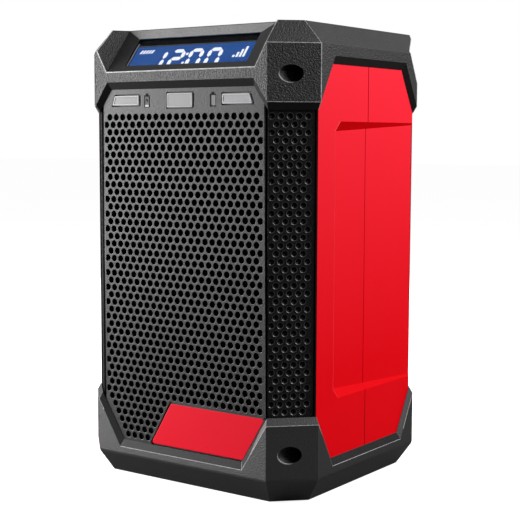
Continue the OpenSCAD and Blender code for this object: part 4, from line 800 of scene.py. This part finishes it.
def makeHoleRims():
    # a painted highlight: a pale crescent on the lower inner rim of each front screw hole, thickest in its middle:
    # its points lie on the hole's circle and on the corner face, where x - y is the corner's sum
    share = np.linspace(0, 1, holeRim["steps"] + 1)
    turn = np.radians(holeRim["start"] + (holeRim["stop"] - holeRim["start"]) * share)
    thick = holeRim["thick"] * (holeRim["ends"] + (1 - holeRim["ends"]) * np.sin(share * math.pi))[:, None]
    across, up = np.cos(turn), np.sin(turn)
    x = holeRim["x"] + holeRim["round"] * across
    out = np.stack([-across, np.zeros(len(turn)), -up], 1) + np.array([1, -1, 0]) / math.sqrt(2)
    out /= np.linalg.norm(out, axis=1)[:, None]
    bothSides = np.array([[[1, 1, 1]], [[-1, 1, 1]]])
    bothWays = np.array([[[1, 1, 1]], [[1, -1, -1]]])  # with these the left crescent mirrors the right one's faces
    for name, node, level in (("capHoleRims", "top_cap", "high"), ("baseHoleRims", "base_bumper", "low")):
        spots = np.stack([x, x - body["cornerSum"], holeRim[level] + holeRim["round"] * up], 1)
        along = np.gradient(spots, axis=0)
        along /= np.linalg.norm(along, axis=1)[:, None]
        beadPiece(name, spots * bothSides, along * bothWays, out * bothSides, thick, node, "wear_and_highlight_edge")


makeHoleRims()

shell = {"soft": 0.16, "wearHighlight": 0.2, "groove": 1.5, "pocketY": 48, "outX": 76.7, "lipX": 77, "lipY": 45,
         "ledgeWay": -0.3}


def shellLook(middles, facings):
    # red outside, darker in the parting groove, with painted shade on the downward ledges; the pockets of the
    # corner panels stay black, as painted shade
    x, y = np.abs(middles[:, 0]), np.abs(middles[:, 1])
    red = (x > shell["outX"]) & ((np.abs(facings[:, 0]) > 0.8) | (y < shell["pocketY"]))
    shade = np.where(red, np.where(facings[:, 2] < shell["ledgeWay"], 2, 0), 3)
    return np.where(y < shell["groove"], 4, shade)


def isShellLip(spot, one, two):
    # the rim of the side recesses: one face looks sideways, the other doesn't
    less, more = sorted((abs(one.x), abs(two.x)))
    return (abs(spot.x) > shell["lipX"] and shell["groove"] < abs(spot.y) < shell["lipY"]
            and more > 0.9 and less < 0.6)


for half in ("front", "rear"):
    softened(half + "Shell", half + "_housing", shell["soft"],
             ["red_shell", "red_shell_edge_shade", "red_ledge_shade", "inner_black", "red_groove"],
             lookOf=shellLook, worn=(isShellLip, shell["wearHighlight"], "red_lip_highlight"))


def bezelLook(middles, facings):
    # painted reflection: the funnel's upper wall is paler
    return np.where(facings[:, 1] > -0.9, 0, 2)


softened("displayBezel", "display_bezel", 0.25, ["bezel_black", "bezel_black_edge_highlight", "bezel_brow_reflection"],
         lookOf=bezelLook)

plainSoft = {
    # node, width of the soft edges, their steps, looks
    "rearPanel": ("rear_panel", 0.3, 2, ["rear_black", "rear_black_edge_highlight"]),
    "portTub": ("port_tub", 0.2, 2, ["rear_black", "rear_black_edge_highlight"]),
    "controlPanel": ("control_panel", 0.3, 2, ["rear_black", "rear_black_edge_highlight"]),
    "batteryPack": ("battery_pack", 0.8, 3, ["battery_black", "battery_black_edge_highlight"]),
    "leftLatch": ("left_battery_latch", 0.6, 3, ["latch_red"]),
    "rightLatch": ("right_battery_latch", 0.6, 3, ["latch_red"]),
    "portDoor": ("port_door", 0.35, 2, ["door_black", "panel_black_edge_highlight"]),
    "cornerScrews": ("corner_screws", 0.25, 2, ["screw_steel"]),
}
for name, (node, width, steps, looks) in plainSoft.items():
    softened(name, node, width, looks, steps)
print("shells are softened")


# --- rear: panel screws and the battery's face

rearScrew = {
    "x": (-52.5, 52.5), "z": (124.0, 192.0), "y": 71.5, "round": 3.1, "sides": 24, "star": 1.25, "lobes": 0.28,
    "head": [(0, -0.3), (0, 0.25), (0.25, 0.62), (0.9, 0.95), (1.5, 1.0)], "socket": [(0, 0.5), (0, 1.02)],
    "sharp": 50,
}
packFace = {
    "y": 70.1, "z": 85.0, "half": 29.0, "tall": 15.5, "round": 3.0,
    "pad": [(0, -0.2), (0, 0.35), (0.15, 0.6), (0.45, 0.7), (1.6, 0.7), (1.9, 0.45), (2.3, 0.4)],
    "ribs": 5, "ribLow": 54.6, "ribHalf": 30.0, "ribTall": 1.3, "ribPitch": 2.6, "ribRound": 0.6,
    "rib": [(0, -0.2), (0, 0.4), (0.12, 0.65), (0.4, 0.75)],
}


def rearPlane(y):
    # origin, across, up and out of a plane that faces the rear
    return (0, y, 0), (-1, 0, 0), (0, 0, 1), (0, 1, 0)


def makeRearScrews():
    # round heads with six-lobed sockets: the socket's radius swings six times round the circle
    s, plane = rearScrew, rearPlane(rearScrew["y"])
    circle = circleOf(s["sides"])
    lobes = np.cos(6 * np.arange(s["sides"]) * 2 * math.pi / s["sides"])
    star = circle * (s["star"] + s["lobes"] * lobes)[:, None]
    places = [(x, z) for x in s["x"] for z in s["z"]]
    points, faces = joined(*[slab(circle * s["round"] + place, 0, s["head"], plane) for place in places])
    heads = meshPiece("rearPanelScrews", points, faces, ["screw_steel"], smooth=True)
    heads.data.set_sharp_from_angle(angle=math.radians(s["sharp"]))
    # the sockets are painted black as shade
    points, faces = joined(*[slab(star + place, 0, s["socket"], plane) for place in places])
    meshPiece("rearScrewSockets", points, faces, ["painted_shade_black"])


def makePackFace():
    # a raised pad without any print, and grip ribs under it
    f, plane = packFace, rearPlane(packFace["y"])
    parts = [slab(rectangle(-f["half"], f["half"], f["z"] - f["tall"], f["z"] + f["tall"]), f["round"], f["pad"],
                  plane, 6)]
    for rib in range(f["ribs"]):
        z = f["ribLow"] + rib * f["ribPitch"]
        parts.append(slab(rectangle(-f["ribHalf"], f["ribHalf"], z, z + f["ribTall"]), f["ribRound"], f["rib"],
                          plane, 4))
    points, faces = joined(*parts)
    meshPiece("batteryFace", points, faces, ["battery_black"], body=bodyOf["battery_pack"])


makeRearScrews()
makePackFace()
print("rear is dressed")


# --- flat plates with rows of holes

def holedPlate(outline, holes, openings=()):
    # triangles of the plane between an outline, round holes and other openings
    rings = [np.asarray(ring, float) for ring in (outline, *openings, *holes)]
    edges, start = [], 0
    for ring in rings:
        index = np.arange(len(ring)) + start
        edges.append(np.column_stack([index, np.roll(index, -1)]))
        start += len(ring)
    made = geometry.delaunay_2d_cdt([Vector(p) for p in np.vstack(rings).tolist()], np.vstack(edges).tolist(),
                                    [], 0, 1e-6, True)
    flat = np.array([tuple(v) for v in made[0]])
    ringOf = np.repeat(np.arange(len(rings)), [len(ring) for ring in rings])
    ring = np.array([ringOf[sources[0]] if sources else -1 for sources in made[3]])
    faces = np.array(made[2])
    corners = ring[faces]  # a triangle with all its corners on one opening lies inside that opening
    inside = (corners[:, 0] > 0) & (corners == corners[:, :1]).all(1)
    return flat, faces[~inside]


def sunkHoles(centres, profile, circle):
    # pairs of radius and depth carried round every hole at once, as across, up and depth, and their quads
    radii, depths = np.array(profile).T
    rings = centres[:, None, None] + radii[:, None, None] * circle
    depth = np.broadcast_to(depths[:, None, None], rings.shape[:3] + (1,))
    starts = (np.arange(len(centres)) * len(radii) * len(circle))[:, None, None]
    quads = (stripFaces(len(radii), len(circle))[None] + starts).reshape(-1, 4)
    return np.concatenate([rings, depth], -1).reshape(-1, 3), quads


grille = {
    "half": 59.0, "low": 16.5, "high": 232.5, "face": -71.5, "thick": 2.3, "round": 1.2,
    "pitchX": 5.07, "pitchZ": 4.36, "top": 213.6, "rows": 44, "perRow": 22, "sides": 12,
    "hole": [(2.16, 0.0), (2.0, 0.07), (1.88, 0.3), (1.82, 2.3)], "rim": 0.22,
    "edgeRoom": 2.6, "windowRoom": 3.9, "lowRoom": 2.5, "plateRoomUp": 2.8, "plateRoomLeft": 3.1,
}
led = {"inner": 30.0, "outer": 51.0, "slant": 2.2, "low": 220.2, "height": 5.8, "gap": 0.5, "round": 0.6}
badge = {"width": 18.8, "height": 8.2, "z": 222.8, "gap": 0.5, "deep": 1.0, "round": 0.5}
plate = {"low": 23.0, "high": 49.0, "slant": 15.4, "width": 67.3, "right": 44.23, "deep": 1.2, "gap": 0.65,
         "round": 1.2}
baseWindow = {"edge": 60.66, "post": 49.8, "run": 17.06, "rise": 26.8}


def plateLeft(z):
    return plate["right"] - plate["width"] + (z - plate["low"]) * plate["slant"] / (plate["high"] - plate["low"])


def windowAt(z):
    return baseWindow["edge"] - (baseWindow["post"] - z) * baseWindow["run"] / baseWindow["rise"]


def holeCentres():
    # staggered rows; a hole is left out near the edge, the base's window and the name plate
    g = grille
    row, i = np.meshgrid(np.arange(g["rows"]), np.arange(g["perRow"] + 1), indexing="ij")
    odd = row % 2
    x = (i - (g["perRow"] - 1 + odd) / 2) * g["pitchX"]
    z = g["top"] - row * g["pitchZ"]
    good = (i < g["perRow"] + odd) & (np.abs(x) < g["half"] - g["edgeRoom"]) & (z > plate["low"] + g["lowRoom"])
    good &= np.abs(x) < windowAt(z) - g["windowRoom"]
    good &= (z > plate["high"] + g["plateRoomUp"]) | (x < plateLeft(z) - g["plateRoomLeft"])
    return np.column_stack([x[good], z[good]])


def ledPath(side, grow):
    low, high = led["low"] - grow, led["low"] + led["height"] + grow
    inner, outer = led["inner"] - grow, led["outer"]
    corners = np.array([[inner, low], [outer + grow * 1.4, low], [outer - led["slant"] + grow * 0.7, high],
                        [inner, high]])
    corners[:, 0] *= side
    return corners if side > 0 else corners[::-1]


def namePath(grow):
    low, high = plate["low"], plate["high"]
    return np.array([
        [plateLeft(low) - grow * 1.1, low - grow], [plate["right"] + grow * 0.9, low - grow],
        [plate["right"] + plate["slant"] + grow * 1.1, high + grow], [plateLeft(high) - grow * 0.9, high + grow]])


def badgePath(grow):
    half, tall = badge["width"] / 2 + grow, badge["height"] / 2 + grow
    return rectangle(-half, half, badge["z"] - tall, badge["z"] + tall)


def makeGrille():
    # seen from the front, x runs right and z up, so anticlockwise triangles face the viewer
    g, made = grille, Blocks()
    centres, circle = holeCentres(), circleOf(g["sides"], 0.5)
    inner, half, low, high = g["half"] - g["round"], g["half"], g["low"], g["high"]

    def lift(flat, depth):
        return np.column_stack([flat[:, 0], np.full(len(flat), g["face"]) + depth, flat[:, 1]])

    # the larger openings: path, and depth of the floor or None where it goes right through
    openings = [(roundedPath(ledPath(side, led["gap"]), led["round"], 3), None) for side in (1, -1)]
    openings += [(roundedPath(badgePath(badge["gap"]), badge["round"], 3), badge["deep"]),
                 (roundedPath(namePath(plate["gap"]), plate["round"], 4), plate["deep"])]
    fronts = [insetPath(path, -g["rim"]) for path, _ in openings]
    flat, triangles = holedPlate(rectangle(-inner, inner, low, high),
                                 centres[:, None] + g["hole"][0][0] * circle, fronts)
    made.add(lift(flat, 0), triangles)
    flat, triangles = holedPlate(rectangle(-half, half, low, high), centres[:, None] + g["hole"][-1][0] * circle,
                                 [path for path, floor in openings if floor is None])
    made.add(lift(flat, g["thick"]), triangles[:, ::-1])

    # the holes: the uppermost band carries a painted highlight, the walls below are painted black as shade
    block, quads = sunkHoles(centres, g["hole"], circle)
    made.add(lift(block[:, :2], block[:, 2]), quads, True, np.tile(np.repeat([1, 2, 2], g["sides"]), len(centres)))

    # rims, walls and floors of the larger openings; the rims carry a painted highlight and the walls painted shade
    for (path, floor), front in zip(openings, fronts):
        bottom, count = lift(path, floor or g["thick"]), len(path)
        made.add(np.vstack([lift(front, 0), lift(path, g["rim"]), bottom]), stripFaces(3, count),
                 looks=np.repeat([1, 2], count))
        if floor:
            around = np.arange(count)
            made.add(np.vstack([bottom, bottom.mean(0)]),
                     np.column_stack([around, np.roll(around, -1), np.full(count, count)]))

    # the rounded upright edges, the thin side walls painted black as shade, and the two ends
    out, depth = quarterRound(g["round"], 5)
    edge = np.vstack([np.column_stack([inner + out, g["face"] + depth]), [half, g["face"] + g["thick"]]])
    for side in (1, -1):
        ends = [np.column_stack([edge * [side, 1], np.full(len(edge), z)]) for z in (low, high)]
        made.add(np.vstack(ends), stripFaces(2, len(edge), closed=False, flip=side < 0), True, [0, 0, 2, 2, 2])
    loop = np.vstack([edge, (edge * [-1, 1])[::-1]])
    order = np.arange(len(loop))
    for z, around in ((low, order), (high, order[::-1])):
        made.add(np.column_stack([loop, np.full(len(loop), z)]), [around])
    made.piece("frontGrille", ["grille_grey", "grille_rim", "painted_shade_black"], "front_grille")


makeGrille()
print("grille is cut")

cornerPanel = {
    "far": 92.75, "thick": 3.0, "clip": 60.2, "outer": 18.69, "low": 44.2, "high": 222.0, "round": 0.8,
    "middle": 4.595, "pitch": 4.98, "rows": 38, "perRow": 5, "sides": 18,
    "bowl": [(1.98, 0.0), (1.78, 0.14), (1.5, 0.6), (1.0, 1.05), (0.4, 1.3)], "bottom": 1.34,
}


def makeCornerPanels():
    # the plate lies along the corner face: s runs along it, z up, depth inwards
    c, made, root = cornerPanel, Blocks(), math.sqrt(2)
    row, i = np.meshgrid(np.arange(c["rows"]), np.arange(c["perRow"]), indexing="ij")
    odd = row % 2
    good = i < c["perRow"] - odd
    centres = np.column_stack([(c["middle"] + (i - 2 + odd / 2) * c["pitch"])[good],
                               (grille["top"] - row * grille["pitchZ"])[good]])
    count, circle = len(centres), circleOf(c["sides"], 0.5)
    left = c["clip"] * root - c["far"] + c["round"]
    right = c["outer"] - c["round"]
    flat, triangles = holedPlate(rectangle(left, right, c["low"], c["high"]),
                                 centres[:, None] + c["bowl"][0][0] * circle)
    made.add(np.column_stack([flat, np.zeros(len(flat))]), triangles)

    # the bowls: their two upper bands carry a painted highlight, the deeper bands and a fan that closes each
    # bottom are painted black as shade
    block, quads = sunkHoles(centres, c["bowl"], circle)
    made.add(block, quads, True, np.tile(np.repeat([2, 2, 1, 1], c["sides"]), count))
    lowest = block.reshape(count, len(c["bowl"]), c["sides"], 3)[:, -1].reshape(-1, 3)
    first, around = (np.arange(count) * c["sides"])[:, None], np.arange(c["sides"])
    tips = np.broadcast_to(len(lowest) + np.arange(count)[:, None], (count, c["sides"]))
    fan = np.stack([first + around, first + np.roll(around, -1), tips], -1).reshape(-1, 3)
    made.add(np.vstack([lowest, np.column_stack([centres, np.full(count, c["bottom"])])]), fan, True, 1)

    # a small round on both sides, then the walls, the back and the ends
    out, depth = quarterRound(c["round"], 4)
    loop = np.vstack([np.column_stack([left - out, depth]), [left - c["round"] + c["thick"], c["thick"]],
                      [c["outer"], c["thick"]], np.column_stack([right + out, depth])[::-1]])
    ends = [np.column_stack([loop[:, 0], np.full(len(loop), z), loop[:, 1]]) for z in (c["low"], c["high"])]
    made.add(np.vstack(ends), stripFaces(2, len(loop), closed=False), True)
    order = np.arange(len(loop))
    for end, around in zip(ends, (order, order[::-1])):
        made.add(end, [around])

    for xSide, xName in ((1, "right"), (-1, "left")):
        for ySide, yName in ((-1, "front"), (1, "rear")):
            def onCorner(points):
                s, z, deep = points.T
                out = c["far"] - deep
                return np.column_stack([xSide * (out + s) / root, ySide * (out - s) / root, z])

            # the rims' painted highlight is left off the left front panel, whose rims take the face's look
            rim = "panel_black" if (xName, yName) == ("left", "front") else "dimple_rim_highlight"
            made.piece(xName + yName.title() + "CornerPanel", ["panel_black", "dimple_shade_black", rim],
                       f"{xName}_{yName}_corner_panel", onCorner)


makeCornerPanels()
print("corner panels are dimpled")


# --- plates and windows on the grille

frontPlane = ((0, grille["face"], 0), (1, 0, 0), (0, 0, 1), (0, -1, 0))  # origin, across, up, out
frontSlabs = {
    # outline, corner radius, profile of inset and height, looks, node, and which steps take the second look
    "namePlate": (namePath(-0.1), 1.4, [(0, -1.2), (0, -0.2), (0.1, -0.04), (0.35, 0.08), (0.8, 0.1)],
                  ["plate_red", "plate_red_edge_shade"], "name_plate", (1, 2)),
    "frontBadge": (badgePath(-0.05), 0.7,
                   [(0, -1.0), (0, 0.1), (0.12, 0.4), (0.4, 0.58), (0.7, 0.6), (0.85, 0.44), (1.2, 0.42)],
                   ["badge_grey", "badge_edge_highlight"], "front_badge", (1, 2, 3)),
}
windowProfile = [(-0.9, -3.3), (-0.9, -2.32), (0, -2.31), (0, 0.1), (0.12, 0.42), (0.4, 0.58), (0.8, 0.6),
                 (1.0, 0.4), (1.4, 0.38)]
for side, name, look, node in ((-1, "chargeWindow", "window_grey", "charge_window"),
                               (1, "batteryWindow", "window_pale", "battery_window")):
    frontSlabs[name] = (ledPath(side, -0.05), 0.7, windowProfile, [look, "badge_edge_highlight"], node, (3, 4, 5))
for name, (corners, radius, profile, looks, node, edgeSteps) in frontSlabs.items():
    points, faces = slab(corners, radius, profile, frontPlane)
    around = len(faces) // (len(profile) + 1)
    lookOf = np.isin(np.arange(len(faces)) // around, edgeSteps).astype(int)
    meshPiece(name, points, faces, looks, node, lookOf=lookOf)

backing = {
    "deep": 2.12, "thick": 0.4, "round": 0.5, "middle": 38, "half": 20.6, "above": 2.6, "below": 6.5,
    "foot": [(-46.5, 33.0), (-41.0, 23.8), (-24.6, 23.8), (-19.2, 33.0)],
}


def makeBacking():
    # the moulding closes the outer holes of the top two rows and the lowest two rows from behind
    b, top = backing, grille["top"]
    plane = ((0, grille["face"] + b["deep"], 0), *frontPlane[1:])
    strips = [rectangle(side * b["middle"] - b["half"], side * b["middle"] + b["half"], top - b["below"],
                        top + b["above"]) for side in (1, -1)] + [b["foot"]]
    points, faces = joined(*[slab(strip, b["round"], [(0, -b["thick"]), (0, 0.0)], plane, 3) for strip in strips])
    meshPiece("grilleBacking", points, faces, ["grille_grey"])


windowSigns = {
    "left": -24.4, "right": 23.4, "drop": 0.3, "width": 4.2, "height": 7.0, "line": 0.8, "knob": (0.45, 1.0),
    "bolt": [(0.3, 2.2), (-1.0, -0.3), (-0.1, -0.3), (-0.4, -2.2), (1.0, 0.5), (0.1, 0.5)], "boltSize": 0.95,
    "ink": (-0.02, 0.05), "fillInk": (-0.02, 0.07),
    "fills": {"boltSignFoot": ((-25.7, -23.1, -3.4, -2.3), "icon_light"),
              "cellSignFill": ((22.6, 25.2, -3.2, 2.4), "icon_mid")},
}


def makeWindowSigns():
    # small printed battery signs beside the windows: one with a bolt, one half full
    w, middle = windowSigns, badge["z"]
    half, high, line = w["width"] / 2, w["height"] / 2, w["line"]

    def cell(x, z):
        knob = half * w["knob"][0]
        return [rectangle(x - half, x - half + line, z - high, z + high),
                rectangle(x + half - line, x + half, z - high, z + high),
                rectangle(x - half + line, x + half - line, z + high - line, z + high),
                rectangle(x - half + line, x + half - line, z - high, z - high + line),
                rectangle(x - knob, x + knob, z + high, z + high + w["knob"][1])]

    bolt = np.array(w["bolt"]) * w["boltSize"] + (w["left"], middle + w["drop"])
    shapes = cell(w["left"], middle - w["drop"]) + cell(w["right"], middle - w["drop"]) + [bolt]
    points, faces = joined(*[fillPath(shape, frontPlane, *w["ink"]) for shape in shapes])
    meshPiece("windowSigns", points, faces, ["icon_dark"])
    for name, ((x0, x1, z0, z1), look) in w["fills"].items():
        points, faces = fillPath(rectangle(x0, x1, middle + z0, middle + z1), frontPlane, *w["fillInk"])
        meshPiece(name, points, faces, [look])


seam = {"x": 78.33, "low": 57.0, "high": 209.6, "half": 0.28, "profile": [(0, -0.3), (0, 0.03), (0.06, 0.05)]}


def makePartingLines():
    # the joint between the two shells goes on across the shallow side recesses as a fine darker line
    corners = rectangle(-seam["half"], seam["half"], seam["low"], seam["high"])
    for side, name in ((1, "rightPartingLine"), (-1, "leftPartingLine")):
        plane = ((side * seam["x"], 0, 0), (0, side, 0), (0, 0, 1), (side, 0, 0))
        points, faces = slab(corners, 0, seam["profile"], plane)
        meshPiece(name, points, faces, ["red_groove"])


makeBacking()
makeWindowSigns()
makePartingLines()
print("plates, windows and signs are on")


# --- display

slope = {"y": -74.0, "z": 239.7, "angle": 50.3}
display = {
    "depth": 3.6, "low": 4.6, "high": 18.9, "stroke": 2.6, "width": 10.3, "lit": 0.05, "litRise": 0.08,
    "digits": [(-27.8, "bc", -0.04), (-13.8, "abged", 0.05), (-0.6, "abcdef", 0.03), (12.8, "abcdef", 0.03)],
    "colon": {"x": -2.5, "rows": (8.2, 15.0), "half": 0.8, "tall": 0.85},
    "charge": {"bars": 5, "x": -39.2, "pitch": 2.1, "width": 1.3, "low": 16.6, "high": 19.3, "lean": -0.35},
    "signal": {"bars": 4, "x": 31.0, "pitch": 2.3, "width": 1.5, "low": 11.0, "first": 12.6, "step": 2.0},
    # blue field below, black mask above and beside it, a thin line and a pale edge, which is a painted highlight;
    # each with its thickness
    "fields": [((-42.6, 42.6, 4.2, 22.0), "lcd_blue", 0.03), ((-46.2, 46.2, 22.0, 28.4), "lcd_mask", 0.03),
               ((-46.2, -42.6, 5.4, 22.0), "lcd_mask", 0.03), ((42.6, 46.2, 5.4, 22.0), "lcd_mask", 0.03),
               ((-42.8, 42.8, 22.3, 22.9), "lcd_line", 0.07), ((-44.4, -43.3, 5.6, 25.0), "lcd_edge_highlight", 0.07)],
}


def slopePlane(depth):
    # origin, across, up the slope and out of it, at a depth below the slope's face
    angle = math.radians(slope["angle"])
    out = np.array([0, -math.sin(angle), math.cos(angle)])
    origin = np.array([0, slope["y"], slope["z"]]) - out * depth
    return origin, (1, 0, 0), (0, math.cos(angle), math.sin(angle)), out


def leaned(corners, low, lean):
    # figures lean a little: x moves with the height above their foot
    corners = np.asarray(corners, float)
    return np.column_stack([corners[:, 0] - lean * (corners[:, 1] - low), corners[:, 1]])


def segmentsOf(x0, width, low, high, stroke, lit, gap=0.22):
    # seven-segment figures: a to g are short hexagons with a small gap between them
    half, x1, middle = stroke / 2, x0 + width, (low + high) / 2

    def level(z):
        return [(x0 + half + gap, z), (x0 + stroke + gap, z - half), (x1 - stroke - gap, z - half),
                (x1 - half - gap, z), (x1 - stroke - gap, z + half), (x0 + stroke + gap, z + half)]

    def upright(x, bottom, top):
        return [(x, bottom + gap), (x + half, bottom + half + gap), (x + half, top - half - gap),
                (x, top - gap), (x - half, top - half - gap), (x - half, bottom + half + gap)]

    shapes = {"a": level(high - half), "g": level(middle), "d": level(low + half),
              "f": upright(x0 + half, middle, high - half), "b": upright(x1 - half, middle, high - half),
              "e": upright(x0 + half, low + half, middle), "c": upright(x1 - half, low + half, middle)}
    return [np.array(shapes[key]) for key in lit]


def makeDisplay():
    d, colon, charge, signal = display, display["colon"], display["charge"], display["signal"]
    lit = []
    for x, segments, lean in d["digits"]:
        lit += [leaned(corners, d["low"], lean)
                for corners in segmentsOf(x, d["width"], d["low"], d["high"], d["stroke"], segments)]
    for z in colon["rows"]:
        lit.append(rectangle(colon["x"] - colon["half"], colon["x"] + colon["half"], z - colon["tall"],
                             z + colon["tall"]))
    # five slanted bars at the left and four rising ones at the right
    for bar in range(charge["bars"]):
        x = charge["x"] + bar * charge["pitch"]
        lit.append(leaned(rectangle(x, x + charge["width"], charge["low"], charge["high"]), charge["low"],
                          charge["lean"]))
    for bar in range(signal["bars"]):
        x = signal["x"] + bar * signal["pitch"]
        lit.append(rectangle(x, x + signal["width"], signal["low"], signal["first"] + bar * signal["step"]))
    plane = slopePlane(d["depth"] - d["litRise"])
    points, faces = joined(*[slab(corners, 0, [(0, 0.0), (0, d["lit"])], plane) for corners in lit])
    meshPiece("litFigures", points, faces, ["lcd_white"])
    for index, (corners, look, thick) in enumerate(d["fields"]):
        points, faces = slab(rectangle(*corners), 0, [(0, 0.0), (0, thick)], slopePlane(d["depth"]))
        meshPiece(f"cellField{index}", points, faces, [look])


makeDisplay()
print("display is lit")


# --- keys

keys = {
    # middle, width, depth and corner radius
    "power_key": (-34, -22, 15, 15, 7.4), "source_key": (-12, -22, 18, 12, 2.5),
    "equalizer_key": (11, -22, 18, 12, 2.5), "menu_key": (34, -22, 18, 12, 2.5),
    "volume_down_key": (-35, 2, 17, 15, 2.5), "volume_up_key": (-13, 2, 17, 15, 2.5),
    "tune_down_key": (13, 2, 17, 15, 2.5), "tune_up_key": (35, 2, 17, 15, 2.5),
    "preset_1_key": (-28, 26, 22, 11, 2.5), "preset_2_key": (0, 26, 22, 11, 2.5),
    "preset_3_key": (28, 26, 22, 11, 2.5),
}
keyShape = {
    "top": 264.8, "crown": -0.12, "steps": 8, "sharp": 40, "signDeep": 0.25, "signTall": 0.26, "bar": 0.9,
    "digit": (3.8, -2.9, 2.9),  # width, foot and head of a figure
    "profile": [(-1.0, -4.1), (-1.0, -3.1), (0, -3.05), (0, -0.9), (0.12, -0.55), (0.4, -0.25), (0.9, -0.1),
                (1.8, -0.02), (3.2, -0.05)],
}


def arcBand(radius, width, start, stop, steps=18):
    # a band along an arc, from start to stop in degrees
    turn = np.radians(np.linspace(start, stop, steps))
    ring = np.column_stack([np.cos(turn), np.sin(turn)])
    return np.vstack([ring * (radius + width / 2), (ring * (radius - width / 2))[::-1]])


def keySigns():
    # simple signs, as closed outlines round each key's middle
    bar, half = keyShape["bar"], keyShape["bar"] / 2
    arrow = np.array([(-2.2, -2.8), (-1.0, -2.8), (2.2, 0), (-1.0, 2.8), (-2.2, 2.8), (1.0, 0)])
    signs = {
        "power_key": [arcBand(2.9, bar, 120, 420), rectangle(-half, half, 0.6, 4.0)],
        "source_key": [[(-3.4, -half), (0.6, -half), (0.6, -1.9), (3.4, 0), (0.6, 1.9), (0.6, half),
                        (-3.4, half)]],
        "equalizer_key": [rectangle(x - half, x + half, -2.4, top)
                          for x, top in ((-3, -0.4), (-1, 1.6), (1, 2.4), (3, 0.6))],
        "menu_key": [rectangle(-3.2, 3.2, z - half, z + half) for z in (-1.9, 0, 1.9)],
        "volume_down_key": [rectangle(-3, 3, -half, half)],
        "volume_up_key": [[(-3, -half), (-half, -half), (-half, -3), (half, -3), (half, -half), (3, -half),
                           (3, half), (half, half), (half, 3), (-half, 3), (-half, half), (-3, half)]],
        "tune_down_key": [(arrow * [-1, 1])[::-1]],
        "tune_up_key": [arrow],
    }
    for number, (left, lit) in enumerate(((-3.0, "bc"), (-1.9, "abged"), (-1.9, "abgcd")), 1):
        signs[f"preset_{number}_key"] = segmentsOf(left, *keyShape["digit"], bar, lit)
    return signs


def makeKeys():
    k, signs = keyShape, keySigns()
    for key, (x, y, width, deep, radius) in keys.items():
        half, tall = width / 2, deep / 2
        plane = ((x, y, k["top"]), (1, 0, 0), (0, 1, 0), (0, 0, 1))
        points, faces = slab(rectangle(-half, half, -tall, tall), min(radius, tall - 0.05), k["profile"], plane,
                             k["steps"], k["crown"])
        piece = meshPiece(key.replace("_k", "K"), points, faces, ["key_grey"], key, smooth=True)
        piece.data.set_sharp_from_angle(angle=math.radians(k["sharp"]))
        plane = ((x, y, k["top"] - k["signDeep"]), *plane[1:])
        points, faces = joined(*[fillPath(outline, plane, 0.0, k["signTall"]) for outline in signs[key]])
        sign = meshPiece(key.replace("_key", "Sign"), points, faces, ["icon_light"],
                         body=bodyOf[key])
        weld(sign.data, 0.0005)


makeKeys()
print("keys are capped")
